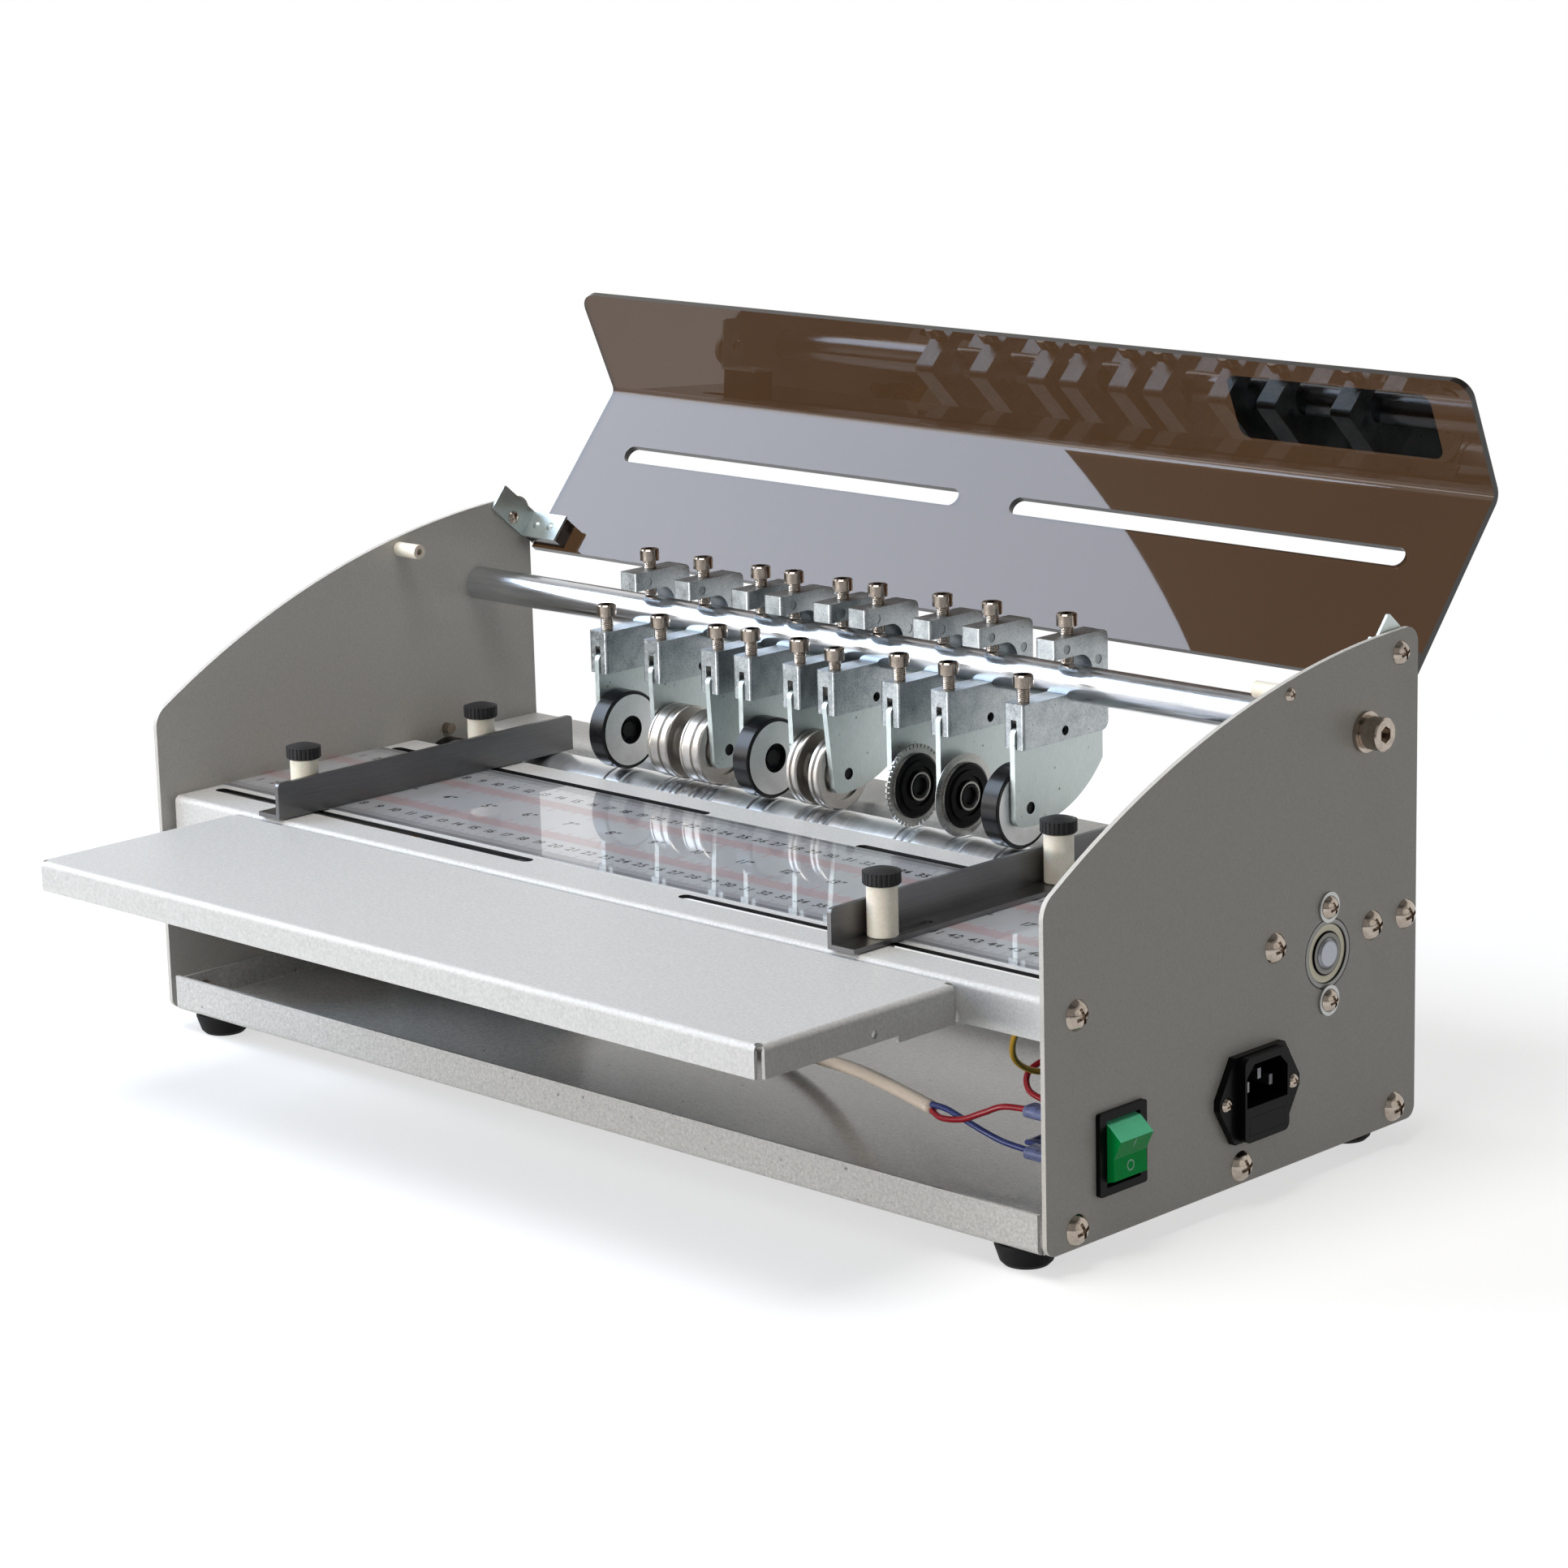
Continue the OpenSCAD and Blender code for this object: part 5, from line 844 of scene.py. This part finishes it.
rim = rounded_plate(FILM_WIDE / 2, FILM_HIGH / 2, FILM_R)
fold = cover_edge + FOLD_AT * along
centre = fold + sum(FILM_S) / 2 * lip + np.array([sum(FILM_X) / 2, 0, 0])
rings = np.concatenate([rim[None] * 0.5, rim[None], rim[None]])
depth = np.array([FILM_TOP, FILM_TOP, FILM_FOOT])[:, None, None]
grid = centre + rings[..., :1] * np.array([1.0, 0, 0]) + rings[..., 1:] * lip - depth * lip_out
points = np.vstack([grid.reshape(-1, 3), centre - FILM_TOP * lip_out])
j = np.arange(len(rim))
cap = np.stack([(j + 1) % len(rim), j, np.full(len(rim), len(points) - 1)], -1)
faces = [*quads(len(rings), len(rim)).tolist(), *cap.tolist()]
piece("lip_film", points, faces, film_black, "cover", smooth=False)
print("film of", round(FILM_WIDE, 1), "by", round(FILM_HIGH, 1), "mm")

# %% [markdown]
# The rocker carries the usual ring and bar. A ray from outside finds the rocker's own surface, so
# the marks lie on it, whatever its slope.

# %% Marks on the rocker
OUTSIDE_X, MARK_LIFT, MARK_SIDES = 300.0, 0.06, 40


def on_rocker(y, z):
    """Point and normal of the rocker where a ray from the right meets it, in machine mm."""
    begin = place([OUTSIDE_X, y, z])
    hit, point, normal, _ = nodes["switch_rocker"].ray_cast(begin, (-1, 0, 0))
    return np.array(point) * 1000 - SHIFT, np.array(normal), hit


def mark(name, inner, outer, squash, above):
    """Ring between two radii, narrowed across by a factor, laid above the rocker's middle."""
    at, normal, hit = on_rocker(SWITCH[0], SWITCH[1] + above)
    across = np.array([0.0, 1.0, 0.0])
    rise = np.cross(normal, across)
    angle = np.linspace(0, 2 * math.pi, MARK_SIDES, endpoint=False)
    circle = np.stack([np.cos(angle) * squash, np.sin(angle)], -1)
    flat = np.concatenate([circle[None] * outer, circle[None] * inner])
    grid = at + MARK_LIFT * normal + flat[..., :1] * across + flat[..., 1:] * rise
    piece(name, grid.reshape(-1, 3), quads(2, MARK_SIDES), ink["white"], "rocker",
          smooth=False)
    return hit


print("marks found the rocker:", mark("rocker_ring", 1.5, 2.1, squash=1, above=-5.5),
      mark("rocker_bar", 0.02, 2.2, squash=0.16, above=3.6))

# %% [markdown]
# A studio is mostly soft light. A large lamp above lights the tables. The one on the left is what
# the smoked panel mirrors, and it is cool, as daylight is. A weak one gives the right plate a little
# light, a strip low in front lights the pan's lip, and the last one is a window for the bar to
# mirror. Oval lamps leave soft glints without corners.

# %% Lamps


def lamp(name, at, aim, wide, high, brightness, colour):
    """Oval soft lamp: power = brightness x pi x area, turned so that its face looks at the aim."""
    made = bpy.data.lights.new(name, "AREA")
    made.shape = "ELLIPSE"
    made.size, made.size_y = wide, high
    made.energy = brightness * math.pi * math.pi * wide * high / 4
    made.color = colour
    stand = bpy.data.objects.new(name, made)
    z = np.subtract(at, aim) / np.linalg.norm(np.subtract(at, aim))
    x = np.cross([0, 0, 1.0], z)
    x /= np.linalg.norm(x)
    look = Matrix(np.stack([x, np.cross(z, x), z], -1).tolist()).to_4x4()
    look.translation = at
    stand.matrix_world = look
    bpy.context.scene.collection.objects.link(stand)


WARM, COOL, SUNNY, NEUTRAL = (1.0, 0.99, 0.975), (0.83, 1.0, 1.24), (1.0, 0.975, 0.93), (1, 1, 1)
lamp("top_lamp", (-0.1, -0.6, 2.5), (0, 0, 0.1), 1.5, 1.5, 7.5, WARM)
lamp("left_lamp", (-1.92, -0.9, 1.45), (0, 0.1, 0.2), 1.6, 1.6, 5.4, COOL)
lamp("right_lamp", (1.8, 0.0, 0.45), (0.2, 0, 0.12), 1.2, 1.2, 0.5, SUNNY)
lamp("strip_lamp", (-0.55, -2.3, 0.13), (0, 0, 0.05), 1.1, 0.22, 56.0, WARM)
lamp("window_lamp", (-1.75, -1.85, 0.72), (0, 0, 0.12), 1.2, 0.8, 2.6, NEUTRAL)
print(len(bpy.data.lights), "lamps")

# %% [markdown]
# The world fills the shadows with a little light. Mirrors and clear sheets see a brighter room in
# it, dimmer overhead and on the camera's side, which gives polished metal its dark bands. The camera
# sees plain white. None of this adds light to the paint.

# %% World
FILL, SKY_TINT, FRONT = 0.12, (1, 0.985, 0.96, 1), (0.7, -0.71, 0.0)


def camera_ray(tree):
    """One for rays that come straight from the camera."""
    return box(tree, "LightPath").outputs["Is Camera Ray"]


def seen(tree):
    """One for rays that show the background: from the camera, off mirrors, through clear sheets."""
    path = box(tree, "LightPath").outputs
    first = maths(tree, "MAXIMUM", path["Is Camera Ray"], path["Is Glossy Ray"])
    return maths(tree, "MAXIMUM", first, path["Is Transmission Ray"])


def towards_front(tree, vector):
    """How far a direction or a place lies on the camera's side: its dot product with FRONT."""
    return box(tree, "VectorMath", {0: vector, 1: FRONT}, operation="DOT_PRODUCT").outputs["Value"]


world = bpy.data.worlds.new("studio")
world.use_nodes = True
bpy.context.scene.world = world
tree = world.node_tree
sky = tree.nodes["Background"]
sky.inputs["Color"].default_value = SKY_TINT
toward = box(tree, "TexCoord").outputs["Generated"]
height = box(tree, "SeparateXYZ", {0: toward}).outputs["Z"]
ceiling = rescale(tree, height, (0.6, 0.76), (1.0, 0.22), "SMOOTHSTEP")
room = rescale(tree, towards_front(tree, toward), (0.1, 0.7), (1.0, 0.4), "SMOOTHSTEP")
backdrop = maths(tree, "MULTIPLY", ceiling, room)
level = rescale(tree, seen(tree), (0.0, 1.0), (FILL, backdrop))
tree.links.new(maths(tree, "MAXIMUM", level, camera_ray(tree)), sky.inputs["Strength"])
print("world with a fill light of", FILL)

# %% [markdown]
# The floor is pale to the eye and darker to the light that it throws back on the machine, so that
# the undersides stay in shade. Near the machine it takes the soft shadow, and further off it turns
# into the white of the background. Mirrors see it dimmer on the camera's side.

# %% Floor
FLOOR_HALF, FLOOR_DARK, FLOOR_PALE, NEAR_GLOW = 9.0, 0.2, 0.5, 0.62


def matt(tree, grey):
    """Plain matt paint of one grey."""
    return box(tree, "BsdfDiffuse", {"Color": (grey, grey, grey, 1)}).outputs[0]


def glow(tree, strength):
    """White that shines by itself, whatever the lamps do."""
    return box(tree, "Emission", {"Color": (1, 1, 1, 1), "Strength": strength}).outputs[0]


def mix(tree, factor, first, second):
    """The first shader where the factor is 0, and the second where it is 1."""
    return box(tree, "MixShader", {0: factor, 1: first, 2: second}).outputs[0]


floor_paint, tree, _, coords = start("floor_paint")
away = box(tree, "VectorMath", {0: coords}, operation="LENGTH").outputs["Value"]
far = rescale(tree, away, (0.35, 0.9), curve="SMOOTHSTEP")
behind = rescale(tree, towards_front(tree, coords), (0.55, 1.0), (1.0, 0.0), "SMOOTHSTEP")
pale = matt(tree, FLOOR_PALE)
near = box(tree, "AddShader", {0: pale, 1: glow(tree, NEAR_GLOW)}).outputs[0]
backdrop = mix(tree, far, near, glow(tree, 1.0))
lit = mix(tree, maths(tree, "MAXIMUM", behind, camera_ray(tree)), pale, backdrop)
both = mix(tree, seen(tree), matt(tree, FLOOR_DARK), lit)
tree.links.new(both, tree.nodes["Material Output"].inputs["Surface"])
mesh = bpy.data.meshes.new("floor")
mesh.from_pydata([(x * FLOOR_HALF, y * FLOOR_HALF, 0)
                  for x, y in ((-1, -1), (1, -1), (1, 1), (-1, 1))], [], [(0, 1, 2, 3)])
mesh.materials.append(floor_paint)
floor = bpy.data.objects.new("floor", mesh)
bpy.context.scene.collection.objects.link(floor)
print("floor of", 2 * FLOOR_HALF, "m")
